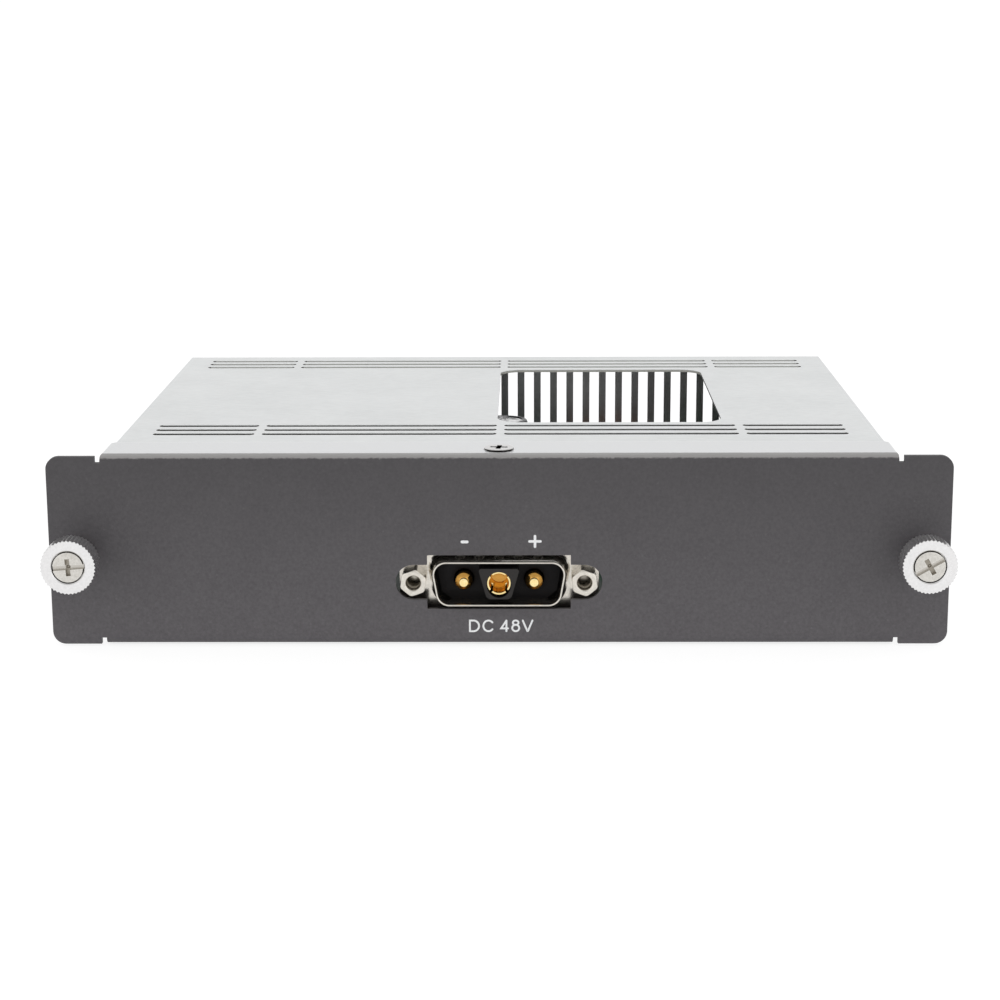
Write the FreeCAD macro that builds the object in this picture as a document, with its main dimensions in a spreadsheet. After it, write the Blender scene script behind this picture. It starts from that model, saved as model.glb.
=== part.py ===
# A slide-in direct-current power supply module: a folded front panel with two captive
# thumbscrews, a vented sheet-metal case, a three-contact power inlet and the converter board.
# Millimetres. X runs along the panel, Y from the panel to the rear, Z up. The origin is below
# the middle of the module, on the surface that it stands on.
import FreeCAD
import Part
import Sketcher
import math
import os
import re

driving_sizes = {
    # folded front panel, measured over its painted face
    "panel_width": 175.0,
    "panel_height": 37.5,
    "panel_sheet": 1.0,
    "ear_width": 10.5,
    "ear_corner": 2.5,
    "flange_depth": 14.2,
    "flange_corner": 0.8,
    "bend_radius": 0.25,
    "relief_width": 1.0,
    # case of two folded sheets
    "case_depth": 125.0,
    "case_sheet": 1.0,
    "front_gap": 0.5,
    "seam_gap": 0.3,
    "tray_wall_height": 12.0,
    # vent slots in the cover: rows of one short, two long and one short slot
    "vent_width": 2.0,
    "vent_pitch": 4.4,
    "vent_rows": 3,
    "vent_long": 47.7,
    "vent_web": 1.9,
    "vent_side_margin": 5.95,
    "front_vents_depth": 26.6,
    "rear_vents_inset": 14.8,
    # window in the cover
    "window_middle": 23.0,
    "window_width": 46.9,
    "window_front": 39.7,
    "window_rear_inset": 20.5,
    "window_corner": 5.0,
    # grille in the rear wall
    "grille_slot": 2.3,
    "grille_slots": 17,
    "grille_low": 9.0,
    "grille_side_margin": 9.7,
    "grille_top_margin": 2.0,
    "grille_plug_margin": 4.9,
    # countersunk screws of the flanges
    "screw_head": 3.0,
    "screw_shank": 1.5,
    "screw_length": 3.6,
    "screw_clearance": 0.06,
    "flange_screw_depth": 7.0,
    # circuit board on its stand-offs
    "standoff_height": 2.5,
    "standoff_flats": 5.0,
    "board_sheet": 1.6,
    "board_front": 5.2,
    "board_side_gap": 3.3,
    "board_rear_gap": 4.0,
    "standoff_inset": 6.0,
    # power inlet: shell, flange, insulator and contacts
    "inlet_rise": 6.33,
    "inlet_setback": 4.2,
    "inlet_flange_width": 39.14,
    "inlet_flange_height": 12.55,
    "inlet_flange_sheet": 0.8,
    "shell_width": 26.05,
    "shell_height": 9.16,
    "shell_slant": 10.0,
    "shell_wall": 0.4,
    "shell_corner": 2.0,
    "shell_reach": 5.9,
    "inlet_fit": 0.1,
    "insulator_recess": 4.7,
    "insulator_rear_width": 29.6,
    "insulator_rear_depth": 11.0,
    "insulator_rear_rise": 5.5,
    "tower_width": 8.1,
    "tower_narrow": 4.7,
    "tower_height": 6.1,
    "tower_reach": 3.9,
    "tower_corner": 0.5,
    "contact_pitch": 6.86,
    "pin_radius": 0.85,
    "pin_shoulder": 1.375,
    "pin_reach": 3.4,
    "pin_well": 2.0,
    "pin_well_depth": 4.0,
    "pin_shoulder_sink": 2.0,
    "ring_radius": 2.3,
    "ring_bore": 1.85,
    "ring_bore_depth": 8.0,
    "ring_floor": 1.0,
    "ring_sink": 0.1,
    "ring_slit": 0.5,
    "ring_slit_depth": 5.0,
    "tail_width": 1.5,
    "jack_spacing": 33.32,
    "jack_flats": 4.75,
    "jack_length": 5.1,
    "jack_bore": 1.42,
    "jack_floor": 0.5,
    "jack_stud": 1.1,
    "jack_stud_length": 3.0,
    "bracket_sheet": 1.0,
    "bracket_foot": 8.0,
    # cut-out of the panel round the inlet
    "cutout_width": 28.0,
    "cutout_height": 10.85,
    "lobe_width": 40.3,
    "lobe_height": 7.0,
    # captive thumbscrews
    "knob_inset": 6.1,
    "knob_reach": 13.0,
    "knob_length": 5.0,
    "knob_radius": 5.25,
    "knob_teeth": 44,
    "knob_groove_depth": 0.28,
    "knob_mouth": 3.15,
    "knob_mouth_depth": 2.4,
    "stem_head": 2.9,
    "stem_head_sink": 0.1,
    "stem_radius": 1.9,
    "stem_fit": 0.06,
    "thread_radius": 1.5,
    "thread_end": 8.0,
    "slot_width": 0.9,
    "slot_depth": 0.8,
    "cross_length": 3.3,
    "left_slot_turn": -4.0,
    "right_slot_turn": -30.0,
    "spring_radius": 2.8,
    "spring_wire": 0.6,
    "spring_turns": 3,
    "spring_facets": 12,
    "clip_radius": 3.0,
    "clip_bore": 1.3,
    "clip_sheet": 0.5,
    "clip_gap": 0.1,
    "clip_mouth": 2.2,
    "groove_radius": 1.24,
    "groove_run": 0.3,
    # electrolytic capacitors
    "input_can_radius": 5.0,
    "input_can_height": 25.2,
    "input_can_inset": 1.05,
    "input_can_depth": 69.6,
    "input_can_pitch": 12.5,
    "output_can_radius": 4.0,
    "output_can_height": 15.0,
    "output_can_gap": 1.5,
    "output_can_inset": 15.0,
    "output_can_pitch": 10.0,
    # transformer
    "under_window_shift": 3.0,
    "transformer_depth": 92.0,
    "core_width": 30.0,
    "core_length": 12.0,
    "core_height": 13.0,
    "core_leg": 5.0,
    "core_yoke": 2.8,
    "core_middle_leg": 8.0,
    "coil_gap": 0.2,
    "coil_overhang": 5.0,
    "coil_bevel": 3.0,
    # filter choke and output choke
    "filter_inset": 25.4,
    "filter_depth": 20.0,
    "filter_width": 26.0,
    "filter_length": 16.0,
    "filter_height": 7.0,
    "filter_leg": 5.0,
    "filter_coil": 1.8,
    "choke_depth": 60.0,
    "choke_side": 22.0,
    "choke_height": 11.0,
    "choke_chamfer": 4.0,
    # square-bodied fuse in its clips
    "fuse_inset": 29.4,
    "fuse_depth": 20.0,
    "fuse_rise": 5.0,
    "fuse_length": 20.0,
    "fuse_body_half": 2.4,
    "fuse_cap_half": 2.6,
    "fuse_cap_length": 5.0,
    "fuse_clip_sheet": 0.6,
    "fuse_clip_length": 4.0,
    "fuse_fit": 0.1,
    # heat sink with its transistors and clamp
    "sink_inset": 22.4,
    "sink_front": 38.0,
    "sink_length": 56.0,
    "sink_height": 22.0,
    "sink_plate": 3.0,
    "sink_fin": 1.4,
    "sink_fin_reach": 14.0,
    "sink_fins": 9,
    "transistor_count": 4,
    "transistor_pitch": 13.0,
    "transistor_width": 10.0,
    "transistor_tab": 1.3,
    "transistor_tab_height": 16.0,
    "transistor_body": 4.5,
    "transistor_body_height": 9.0,
    "transistor_rise": 3.0,
    "lead_width": 0.9,
    "lead_sheet": 0.5,
    "lead_pitch": 2.54,
    "clamp_sheet": 0.8,
    "clamp_lap": 2.5,
    # control chips
    "chip_inset": 11.4,
    "chip_depth": 56.0,
    "chip_width": 6.0,
    "chip_length": 8.0,
    "chip_height": 1.8,
    "chip_count": 3,
    "chip_pitch": 17.0,
    # output plug in the rear wall
    "plug_inset": 33.4,
    "plug_width": 36.0,
    "plug_height": 11.0,
    "plug_length": 21.0,
    "plug_reach": 4.0,
    "plug_opening_gap": 0.4,
    "plug_ways": 6,
    "plug_way_pitch": 5.0,
    "plug_slot_width": 1.4,
    "plug_slot_height": 5.0,
    "plug_slot_rise": 3.0,
    "blade_fit": 0.1,
    "blade_recess": 4.0,
    "blade_tail": 2.0,
}

doc = FreeCAD.newDocument("dc_power_module")
sheet = doc.addObject("Spreadsheet::Sheet", "sizes")
for row, (name, value) in enumerate(driving_sizes.items(), 1):
    sheet.set(f"A{row}", name)
    sheet.set(f"B{row}", str(value))
    sheet.setAlias(f"B{row}", name)
doc.recompute()

# Places that several pieces share, worked out from the driving sizes.
case_half = "(panel_width / 2 - ear_width)"
cover_top = "(panel_height - panel_sheet)"
cover_under = "(panel_height - panel_sheet - case_sheet)"
case_front = "(panel_sheet + front_gap)"
tray_half = "(panel_width / 2 - ear_width - case_sheet - seam_gap)"
floor_top = "(panel_sheet + case_sheet)"
board_under = "(panel_sheet + case_sheet + standoff_height)"
board_top = "(panel_sheet + case_sheet + standoff_height + board_sheet)"
board_half = f"({tray_half} - case_sheet - board_side_gap)"
board_rear = "(case_depth - case_sheet - board_rear_gap)"
inlet_axis = f"({board_top} + inlet_rise)"
inlet_rear = "(inlet_setback + inlet_flange_sheet)"
insulator_face = "(inlet_setback - shell_reach + insulator_recess)"
tower_front = f"({insulator_face} - tower_reach)"
ring_end = f"({tower_front} + ring_sink + ring_bore_depth + ring_floor)"
contact_end = f"({inlet_rear} + insulator_rear_depth + tail_width)"
knob_across = "(panel_width / 2 - knob_inset)"
knob_seat = "(knob_mouth_depth - knob_reach)"
knob_rear = "(knob_length - knob_reach)"
clip_start = "(panel_sheet + clip_gap)"
window_left = "(window_middle - window_width / 2)"
window_right = "(window_middle + window_width / 2)"
under_window = "(window_middle + under_window_shift)"
input_can_across = f"({window_left} + input_can_inset)"
filter_across = f"({board_half} - filter_inset)"
chip_across = f"({board_half} - chip_inset)"
fuse_across = f"(fuse_inset - {board_half})"
sink_across = f"(sink_inset - {board_half})"
plug_across = f"(plug_inset - {board_half})"
plug_start = "(case_depth + plug_reach - plug_length)"
first_way = "(-(plug_ways - 1) * plug_way_pitch / 2)"
plug_right = f"({plug_across} + plug_width / 2)"
output_can_across = f"({plug_right} + output_can_gap + output_can_pitch + output_can_radius)"
output_can_depth = f"({board_rear} - output_can_inset)"
# The middle of the module's length lies this far behind the panel's painted face.
middle_depth = "((case_depth + plug_reach - knob_reach) / 2)"

sub_parts = []


def bound(text):
    """An expression with the name of each size tied to its cell of the sheet."""
    return re.sub(r"[a-z_]+", tied, text)


def tied(word):
    name = word.group()
    return f"sizes.{name}" if name in driving_sizes else name


def number(text):
    """What an expression comes to with the present sizes."""
    return float(sheet.evalExpression(bound(text)))


def new_body(label, across="0", depth="0", up="0"):
    """A sub-part whose own origin lies at a place measured from the panel's lower edge."""
    body = doc.addObject("PartDesign::Body", label)
    body.Label = label
    body.setExpression("Placement.Base.x", bound(across))
    body.setExpression("Placement.Base.y", bound(f"{depth} - {middle_depth}"))
    body.setExpression("Placement.Base.z", bound(up))
    sub_parts.append(body)
    return body


def origin_feature(body, role):
    return next(f for f in body.Origin.OriginFeatures if f.Role == role)


def sketch_on(body, role, offset):
    sketch = body.newObject("Sketcher::SketchObject", "sketch")
    sketch.AttachmentSupport = [(origin_feature(body, role), "")]
    sketch.MapMode = "FlatFace"
    sketch.setExpression("AttachmentOffset.Base.z", bound(offset))
    return sketch


def plan(body, up="0"):
    """A sketch seen from above: across is X and the second direction is Y."""
    return sketch_on(body, "XY_Plane", up)


def front(body, depth="0"):
    """A sketch seen from the front: across is X and the second direction is Z."""
    return sketch_on(body, "XZ_Plane", f"-({depth})")


def side(body, across="0"):
    """A sketch seen from the side: the first direction is Y and the second is Z."""
    return sketch_on(body, "YZ_Plane", across)


def tie_point(sketch, curve, end, first, second):
    """Ties one point of a curve to its place in the sketch."""
    for kind, text in (("DistanceX", first), ("DistanceY", second)):
        rule = Sketcher.Constraint(kind, -1, 1, curve, end, number(text))
        index = sketch.addConstraint(rule)
        sketch.setExpression(f"Constraints[{index}]", bound(text))


def tie_radius(sketch, curve, radius):
    index = sketch.addConstraint(Sketcher.Constraint("Radius", curve, number(radius)))
    sketch.setExpression(f"Constraints[{index}]", bound(radius))


def outline(sketch, corners):
    """A closed outline of straight lines through corners given as pairs of expressions."""
    places = [FreeCAD.Vector(number(a), number(b), 0) for a, b in corners]
    ends = places[1:] + places[:1]
    lines = [sketch.addGeometry(Part.LineSegment(a, b)) for a, b in zip(places, ends)]
    for line, following in zip(lines, lines[1:] + lines[:1]):
        sketch.addConstraint(Sketcher.Constraint("Coincident", line, 2, following, 1))
    for line, (first, second) in zip(lines, corners):
        tie_point(sketch, line, 1, first, second)


def rectangle(sketch, left, right, low, high):
    outline(sketch, [(left, low), (right, low), (right, high), (left, high)])


def circle(sketch, first, second, radius):
    centre = FreeCAD.Vector(number(first), number(second), 0)
    ring = Part.Circle(centre, FreeCAD.Vector(0, 0, 1), number(radius))
    curve = sketch.addGeometry(ring)
    tie_point(sketch, curve, 3, first, second)
    tie_radius(sketch, curve, radius)


def round_slot(sketch, left, right, middle, width):
    """A level slot with half-round ends, given by its ends, its middle line and its width."""
    radius = f"({width}) / 2"
    reach = number(radius)
    level = number(middle)
    centres = [f"{left} + {radius}", f"{right} - {radius}"]
    arcs = []
    for text, start in zip(centres, (0.5, -0.5)):
        place = FreeCAD.Vector(number(text), level, 0)
        ring = Part.Circle(place, FreeCAD.Vector(0, 0, 1), reach)
        arc = Part.ArcOfCircle(ring, start * math.pi, (start + 1) * math.pi)
        arcs.append(sketch.addGeometry(arc))
    lines = []
    for height, ends in ((-reach, (0, 1)), (reach, (1, 0))):
        a, b = (FreeCAD.Vector(number(centres[i]), level + height, 0) for i in ends)
        lines.append(sketch.addGeometry(Part.LineSegment(a, b)))
    joints = ((arcs[0], 2, lines[0], 1), (lines[0], 2, arcs[1], 1))
    joints += ((arcs[1], 2, lines[1], 1), (lines[1], 2, arcs[0], 1))
    for one, one_end, other, other_end in joints:
        sketch.addConstraint(Sketcher.Constraint("Coincident", one, one_end, other, other_end))
    for arc, text in zip(arcs, centres):
        tie_point(sketch, arc, 3, text, middle)
        tie_radius(sketch, arc, radius)
        for end in (1, 2):
            sketch.addConstraint(Sketcher.Constraint("Vertical", arc, 3, arc, end))


def faceted_slot(sketch, left, right, middle, width):
    """A level slot whose ends are half an octagon, close to round but with few faces."""
    radius = f"({width}) / 2"
    flat = f"{radius} * tan(22.5)"
    nick = f"({radius} - {flat})"
    corners = [
        (left, f"{middle} - {flat}"),
        (f"{left} + {nick}", f"{middle} - {radius}"),
        (f"{right} - {nick}", f"{middle} - {radius}"),
        (right, f"{middle} - {flat}"),
        (right, f"{middle} + {flat}"),
        (f"{right} - {nick}", f"{middle} + {radius}"),
        (f"{left} + {nick}", f"{middle} + {radius}"),
        (left, f"{middle} + {flat}"),
    ]
    outline(sketch, corners)


def hexagon(sketch, first, second, flats):
    """A hexagon with a corner up, given by its centre and its size across flats."""
    half = f"({flats}) / 2"
    corner = f"({flats}) / sqrt(3)"
    corners = []
    for sign_across, sign_up in ((0, 1), (-1, 0.5), (-1, -0.5), (0, -1), (1, -0.5), (1, 0.5)):
        corners.append((f"{first} + {sign_across} * {half}", f"{second} + {sign_up} * {corner}"))
    outline(sketch, corners)


def pad(body, sketch, length, flip=False, both=False):
    """Adds the sketch drawn out along its normal, against it, or half each way."""
    feature = body.newObject("PartDesign::Pad", "pad")
    feature.Profile = sketch
    feature.setExpression("Length", bound(length))
    feature.Reversed = flip
    feature.SideType = "Symmetric" if both else "One side"
    doc.recompute()
    return feature


def cut(body, sketch, length, flip=False, both=False):
    """Takes away the sketch sunk against its normal, along it, or half each way."""
    before = body.Tip.Shape.Volume
    feature = body.newObject("PartDesign::Pocket", "cut")
    feature.Profile = sketch
    feature.setExpression("Length", bound(length))
    feature.Reversed = flip
    feature.SideType = "Symmetric" if both else "One side"
    doc.recompute()
    if not feature.Shape.Volume < before:
        raise ValueError(f"a cut of {body.Label} misses the solid")
    return feature


def turn(body, sketch, axis):
    """Adds the sketch turned once round one of its own axes."""
    feature = body.newObject("PartDesign::Revolution", "turn")
    feature.Profile = sketch
    feature.ReferenceAxis = (sketch, [axis])
    feature.Angle = 360
    doc.recompute()
    return feature


def round_edges(body, radius, chosen):
    """Rounds the edges of the body so far that pass a test."""
    base = body.Tip
    names = [f"Edge{i}" for i, edge in enumerate(base.Shape.Edges, 1) if chosen(edge)]
    feature = body.newObject("PartDesign::Fillet", "rounding")
    feature.Base = (base, names)
    feature.setExpression("Radius", bound(radius))
    doc.recompute()


def bevel_edges(body, size, chosen):
    """Bevels the edges of the body so far that pass a test."""
    base = body.Tip
    names = [f"Edge{i}" for i, edge in enumerate(base.Shape.Edges, 1) if chosen(edge)]
    feature = body.newObject("PartDesign::Chamfer", "bevel")
    feature.Base = (base, names)
    feature.setExpression("Size", bound(size))
    doc.recompute()


def lies_at(edge, **places):
    """True if the whole edge has the given coordinates."""
    corners = [vertex.Point for vertex in edge.Vertexes]
    return all(
        abs(getattr(corner, axis) - number(text)) < 0.001
        for corner in corners
        for axis, text in places.items()
    )


def row_of(body, features, role, length, count):
    """Repeats features in a row whose first and last copies are a length apart."""
    pattern = body.newObject("PartDesign::LinearPattern", "row")
    pattern.Originals = features
    pattern.Direction = (origin_feature(body, role), [""])
    pattern.Mode = "Extent"
    pattern.setExpression("Length", bound(length))
    pattern.setExpression("Occurrences", bound(count))
    body.Tip = pattern
    doc.recompute()
    return pattern


def whole_row(body, role, length, count):
    """Repeats the whole body so far in a row."""
    pattern = row_of(body, [], role, length, count)
    pattern.TransformMode = "Whole shape"
    doc.recompute()


def whole_mirror(body, role):
    """Adds the mirror image of the whole body so far."""
    mirror = body.newObject("PartDesign::Mirrored", "mirror")
    mirror.MirrorPlane = (origin_feature(body, role), [""])
    mirror.TransformMode = "Whole shape"
    body.Tip = mirror
    doc.recompute()


def countersink(body, role, place, head, hole, height):
    """Takes a cone out of a sheet, wide at the place given and narrowing along its own axis."""
    cone = body.newObject("PartDesign::SubtractiveCone", "countersink")
    cone.AttachmentSupport = [(origin_feature(body, role), "")]
    cone.MapMode = "FlatFace"
    for axis, text in zip("xyz", place):
        cone.setExpression(f"AttachmentOffset.Base.{axis}", bound(text))
    cone.setExpression("Radius1", bound(head))
    cone.setExpression("Radius2", bound(hole))
    cone.setExpression("Height", bound(height))
    doc.recompute()
    return cone


def front_panel():
    """Folded panel: a flat face with two ears and a flange bent back above and below."""
    body = new_body("front_panel")
    face = front(body)
    rectangle(face, "-panel_width / 2", "panel_width / 2", "0", "panel_height")
    pad(body, face, "panel_sheet", flip=True)
    flanges = side(body)
    rectangle(flanges, "0", "flange_depth", "0", "panel_sheet")
    rectangle(flanges, "0", "flange_depth", cover_top, "panel_height")
    pad(body, flanges, f"2 * {case_half}", both=True)
    reliefs = front(body)
    relief_depth = "(panel_sheet + bend_radius)"
    inner = case_half
    outer = f"({case_half} + relief_width)"
    for left, right in ((inner, outer), (f"-{outer}", f"-{inner}")):
        rectangle(reliefs, left, right, "0", relief_depth)
        rectangle(reliefs, left, right, f"panel_height - {relief_depth}", "panel_height")
    cut(body, reliefs, "panel_sheet")
    bends = (dict(y="0", z="0"), dict(y="0", z="panel_height"))
    round_edges(
        body,
        relief_depth,
        lambda edge: any(lies_at(edge, **bend) for bend in bends)
        and abs(edge.CenterOfMass.x) < number("relief_width"),
    )
    folds = (dict(y="panel_sheet", z="panel_sheet"), dict(y="panel_sheet", z=cover_top))
    round_edges(body, "bend_radius", lambda edge: any(lies_at(edge, **fold) for fold in folds))
    ear_corners = [
        dict(x=f"{sign} * panel_width / 2", z=height)
        for sign in ("1", "-1")
        for height in ("0", "panel_height")
    ]
    round_edges(body, "ear_corner", lambda edge: any(lies_at(edge, **c) for c in ear_corners))
    flange_corners = [dict(x=f"{s} * {case_half}", y="flange_depth") for s in ("1", "-1")]
    bevel_edges(body, "flange_corner", lambda edge: any(lies_at(edge, **c) for c in flange_corners))
    opening = front(body)
    rectangle(
        opening,
        "-cutout_width / 2",
        "cutout_width / 2",
        f"{inlet_axis} - cutout_height / 2",
        f"{inlet_axis} + cutout_height / 2",
    )
    cut(body, opening, "panel_sheet")
    lobes = front(body)
    round_slot(lobes, "-lobe_width / 2", "lobe_width / 2", inlet_axis, "lobe_height")
    cut(body, lobes, "panel_sheet")
    stem_holes = front(body)
    for sign in ("1", "-1"):
        circle(stem_holes, f"{sign} * {knob_across}", "panel_height / 2", "stem_radius + stem_fit")
    cut(body, stem_holes, "panel_sheet")
    head = "screw_head + screw_clearance"
    hole = "screw_shank + screw_clearance"
    countersink(body, "XY_Plane", ("0", "flange_screw_depth", cover_top), hole, head, "panel_sheet")
    countersink(body, "XY_Plane", ("0", "flange_screw_depth", "0"), head, hole, "panel_sheet")


def top_cover():
    """Cover folded to an upside-down channel, with rows of vent slots and one window."""
    body = new_body("top_cover")
    profile = front(body, case_front)
    inner = f"({case_half} - case_sheet)"
    outline(
        profile,
        [
            (f"-{case_half}", "panel_sheet"),
            (f"-{inner}", "panel_sheet"),
            (f"-{inner}", cover_under),
            (inner, cover_under),
            (inner, "panel_sheet"),
            (case_half, "panel_sheet"),
            (case_half, cover_top),
            (f"-{case_half}", cover_top),
        ],
    )
    pad(body, profile, f"case_depth - {case_front}", flip=True)
    bends = [dict(x=f"{s} * {case_half}", z=cover_top) for s in ("1", "-1")]
    round_edges(
        body, "bend_radius + case_sheet", lambda edge: any(lies_at(edge, **bend) for bend in bends)
    )
    folds = [dict(x=f"{s} * {inner}", z=cover_under) for s in ("1", "-1")]
    round_edges(body, "bend_radius", lambda edge: any(lies_at(edge, **fold) for fold in folds))
    window = plan(body, cover_top)
    window_rear = "(case_depth - window_rear_inset)"
    rectangle(window, window_left, window_right, "window_front", window_rear)
    cut(body, window, "case_sheet")
    window_corners = [
        dict(x=x, y=y)
        for x in (window_left, window_right)
        for y in ("window_front", window_rear)
    ]
    round_edges(body, "window_corner", lambda edge: any(lies_at(edge, **c) for c in window_corners))
    for depth in ("front_vents_depth", "(case_depth - rear_vents_inset)"):
        vents = plan(body, cover_top)
        long_start = "vent_web / 2"
        long_end = "(vent_web / 2 + vent_long)"
        short_start = "(3 * vent_web / 2 + vent_long)"
        short_end = f"({case_half} - vent_side_margin)"
        for start, end in ((long_start, long_end), (short_start, short_end)):
            faceted_slot(vents, start, end, depth, "vent_width")
            faceted_slot(vents, f"-{end}", f"-{start}", depth, "vent_width")
        slots = cut(body, vents, "case_sheet")
        row_of(body, [slots], "Y_Axis", "(vent_rows - 1) * vent_pitch", "vent_rows")
    screw_hole = plan(body, cover_top)
    circle(screw_hole, "0", "flange_screw_depth", "screw_shank + screw_clearance")
    cut(body, screw_hole, "case_sheet")


def base_tray():
    """Tray with low side walls and a full-height rear wall that carries the grille."""
    body = new_body("base_tray")
    floor = plan(body, "panel_sheet")
    rectangle(floor, f"-{tray_half}", tray_half, case_front, "case_depth")
    pad(body, floor, "case_sheet")
    walls = front(body, case_front)
    wall_inner = f"({tray_half} - case_sheet)"
    wall_top = "(panel_sheet + tray_wall_height)"
    rectangle(walls, wall_inner, tray_half, "panel_sheet", wall_top)
    rectangle(walls, f"-{tray_half}", f"-{wall_inner}", "panel_sheet", wall_top)
    pad(body, walls, f"case_depth - {case_front}", flip=True)
    rear = front(body, "case_depth")
    rectangle(rear, f"-{tray_half}", tray_half, "panel_sheet", cover_under)
    pad(body, rear, "case_sheet")
    bends = [dict(x=f"{s} * {tray_half}", z="panel_sheet") for s in ("1", "-1")]
    bends.append(dict(y="case_depth", z="panel_sheet"))
    round_edges(
        body, "bend_radius + case_sheet", lambda edge: any(lies_at(edge, **bend) for bend in bends)
    )
    last_slot = f"({tray_half} - grille_side_margin)"
    grille_pitch = f"({last_slot} / (grille_slots - 0.5))"
    first_slot = f"({grille_pitch} / 2)"
    over_plug = f"({board_top} + plug_height + grille_plug_margin)"
    high = f"({cover_under} - grille_top_margin)"
    for first, low in ((first_slot, "grille_low"), (f"-{last_slot}", over_plug)):
        slot = front(body, "case_depth")
        rectangle(slot, f"{first} - grille_slot / 2", f"{first} + grille_slot / 2", low, high)
        bars = cut(body, slot, "case_sheet", flip=True)
        row_of(body, [bars], "X_Axis", f"{last_slot} - {first_slot}", "grille_slots")
    opening = front(body, "case_depth")
    rectangle(
        opening,
        f"{plug_across} - plug_width / 2 - plug_opening_gap",
        f"{plug_across} + plug_width / 2 + plug_opening_gap",
        f"{board_top} - plug_opening_gap",
        f"{board_top} + plug_height + plug_opening_gap",
    )
    cut(body, opening, "case_sheet", flip=True)
    screw_hole = plan(body, floor_top)
    circle(screw_hole, "0", "flange_screw_depth", "screw_shank + screw_clearance")
    cut(body, screw_hole, "case_sheet")


def flange_screws():
    """Two countersunk screws that hold the panel's flanges to the cover and the tray."""
    body = new_body("flange_screws", depth="flange_screw_depth", up="panel_height / 2")
    top = "panel_height / 2"
    profile = front(body)
    outline(
        profile,
        [
            ("0", top),
            ("screw_head", top),
            ("screw_shank", f"{top} - panel_sheet"),
            ("screw_shank", f"{top} - screw_length"),
            ("0", f"{top} - screw_length"),
        ],
    )
    turn(body, profile, "V_Axis")
    whole_mirror(body, "XY_Plane")


def circuit_board():
    """Converter board that lies on the stand-offs."""
    body = new_body("circuit_board", up=board_under)
    board = plan(body)
    rectangle(board, f"-{board_half}", board_half, "board_front", board_rear)
    pad(body, board, "board_sheet")


def board_standoffs():
    """Four hexagon stand-offs pressed into the tray's floor, one near each corner of the board."""
    body = new_body("board_standoffs", depth="board_front + standoff_inset", up=floor_top)
    post = plan(body)
    hexagon(post, f"{board_half} - standoff_inset", "0", "standoff_flats")
    pad(body, post, "standoff_height")
    whole_mirror(body, "YZ_Plane")
    whole_row(body, "Y_Axis", f"{board_rear} - board_front - 2 * standoff_inset", "2")


def d_outline(sketch, inset):
    """The inlet's outline, wide at the top with slanting sides, drawn in by an inset."""
    run = "tan(shell_slant)"
    slip = f"({inset}) / cos(shell_slant)"
    wide = f"(shell_width / 2 - ({inset}) * {run} - {slip})"
    narrow = f"(shell_width / 2 - (shell_height - ({inset})) * {run} - {slip})"
    reach = f"(shell_height / 2 - ({inset}))"
    corners = [(f"-{narrow}", f"-{reach}"), (narrow, f"-{reach}"), (wide, reach), (f"-{wide}", reach)]
    outline(sketch, corners)


def runs_between(edge, start, end):
    """True if the edge runs straight from one depth to another."""
    depths = sorted(vertex.Point.y for vertex in edge.Vertexes)
    ends = sorted((number(start), number(end)))
    straight = len(depths) == 2 and abs(edge.Length - (ends[1] - ends[0])) < 0.001
    return straight and all(abs(a - b) < 0.001 for a, b in zip(depths, ends))


def inlet_shell():
    """Drawn metal shell of the inlet with its mounting flange."""
    body = new_body("inlet_shell", up=inlet_axis)
    flange = front(body, "inlet_setback")
    rectangle(
        flange,
        "-inlet_flange_width / 2",
        "inlet_flange_width / 2",
        "-inlet_flange_height / 2",
        "inlet_flange_height / 2",
    )
    pad(body, flange, "inlet_flange_sheet", flip=True)
    rim = "(inlet_setback - shell_reach)"
    tube = front(body, "inlet_setback")
    d_outline(tube, "0")
    pad(body, tube, "shell_reach")
    hollow = front(body, rim)
    d_outline(hollow, "shell_wall")
    cut(body, hollow, "shell_reach + inlet_flange_sheet")
    round_edges(body, "shell_corner - shell_wall", lambda edge: runs_between(edge, rim, inlet_rear))
    round_edges(body, "shell_corner", lambda edge: runs_between(edge, "inlet_setback", rim))
    stud_holes = front(body, "inlet_setback")
    for sign in ("1", "-1"):
        circle(stud_holes, f"{sign} * jack_spacing / 2", "0", "jack_stud + inlet_fit")
    cut(body, stud_holes, "inlet_flange_sheet")


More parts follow.
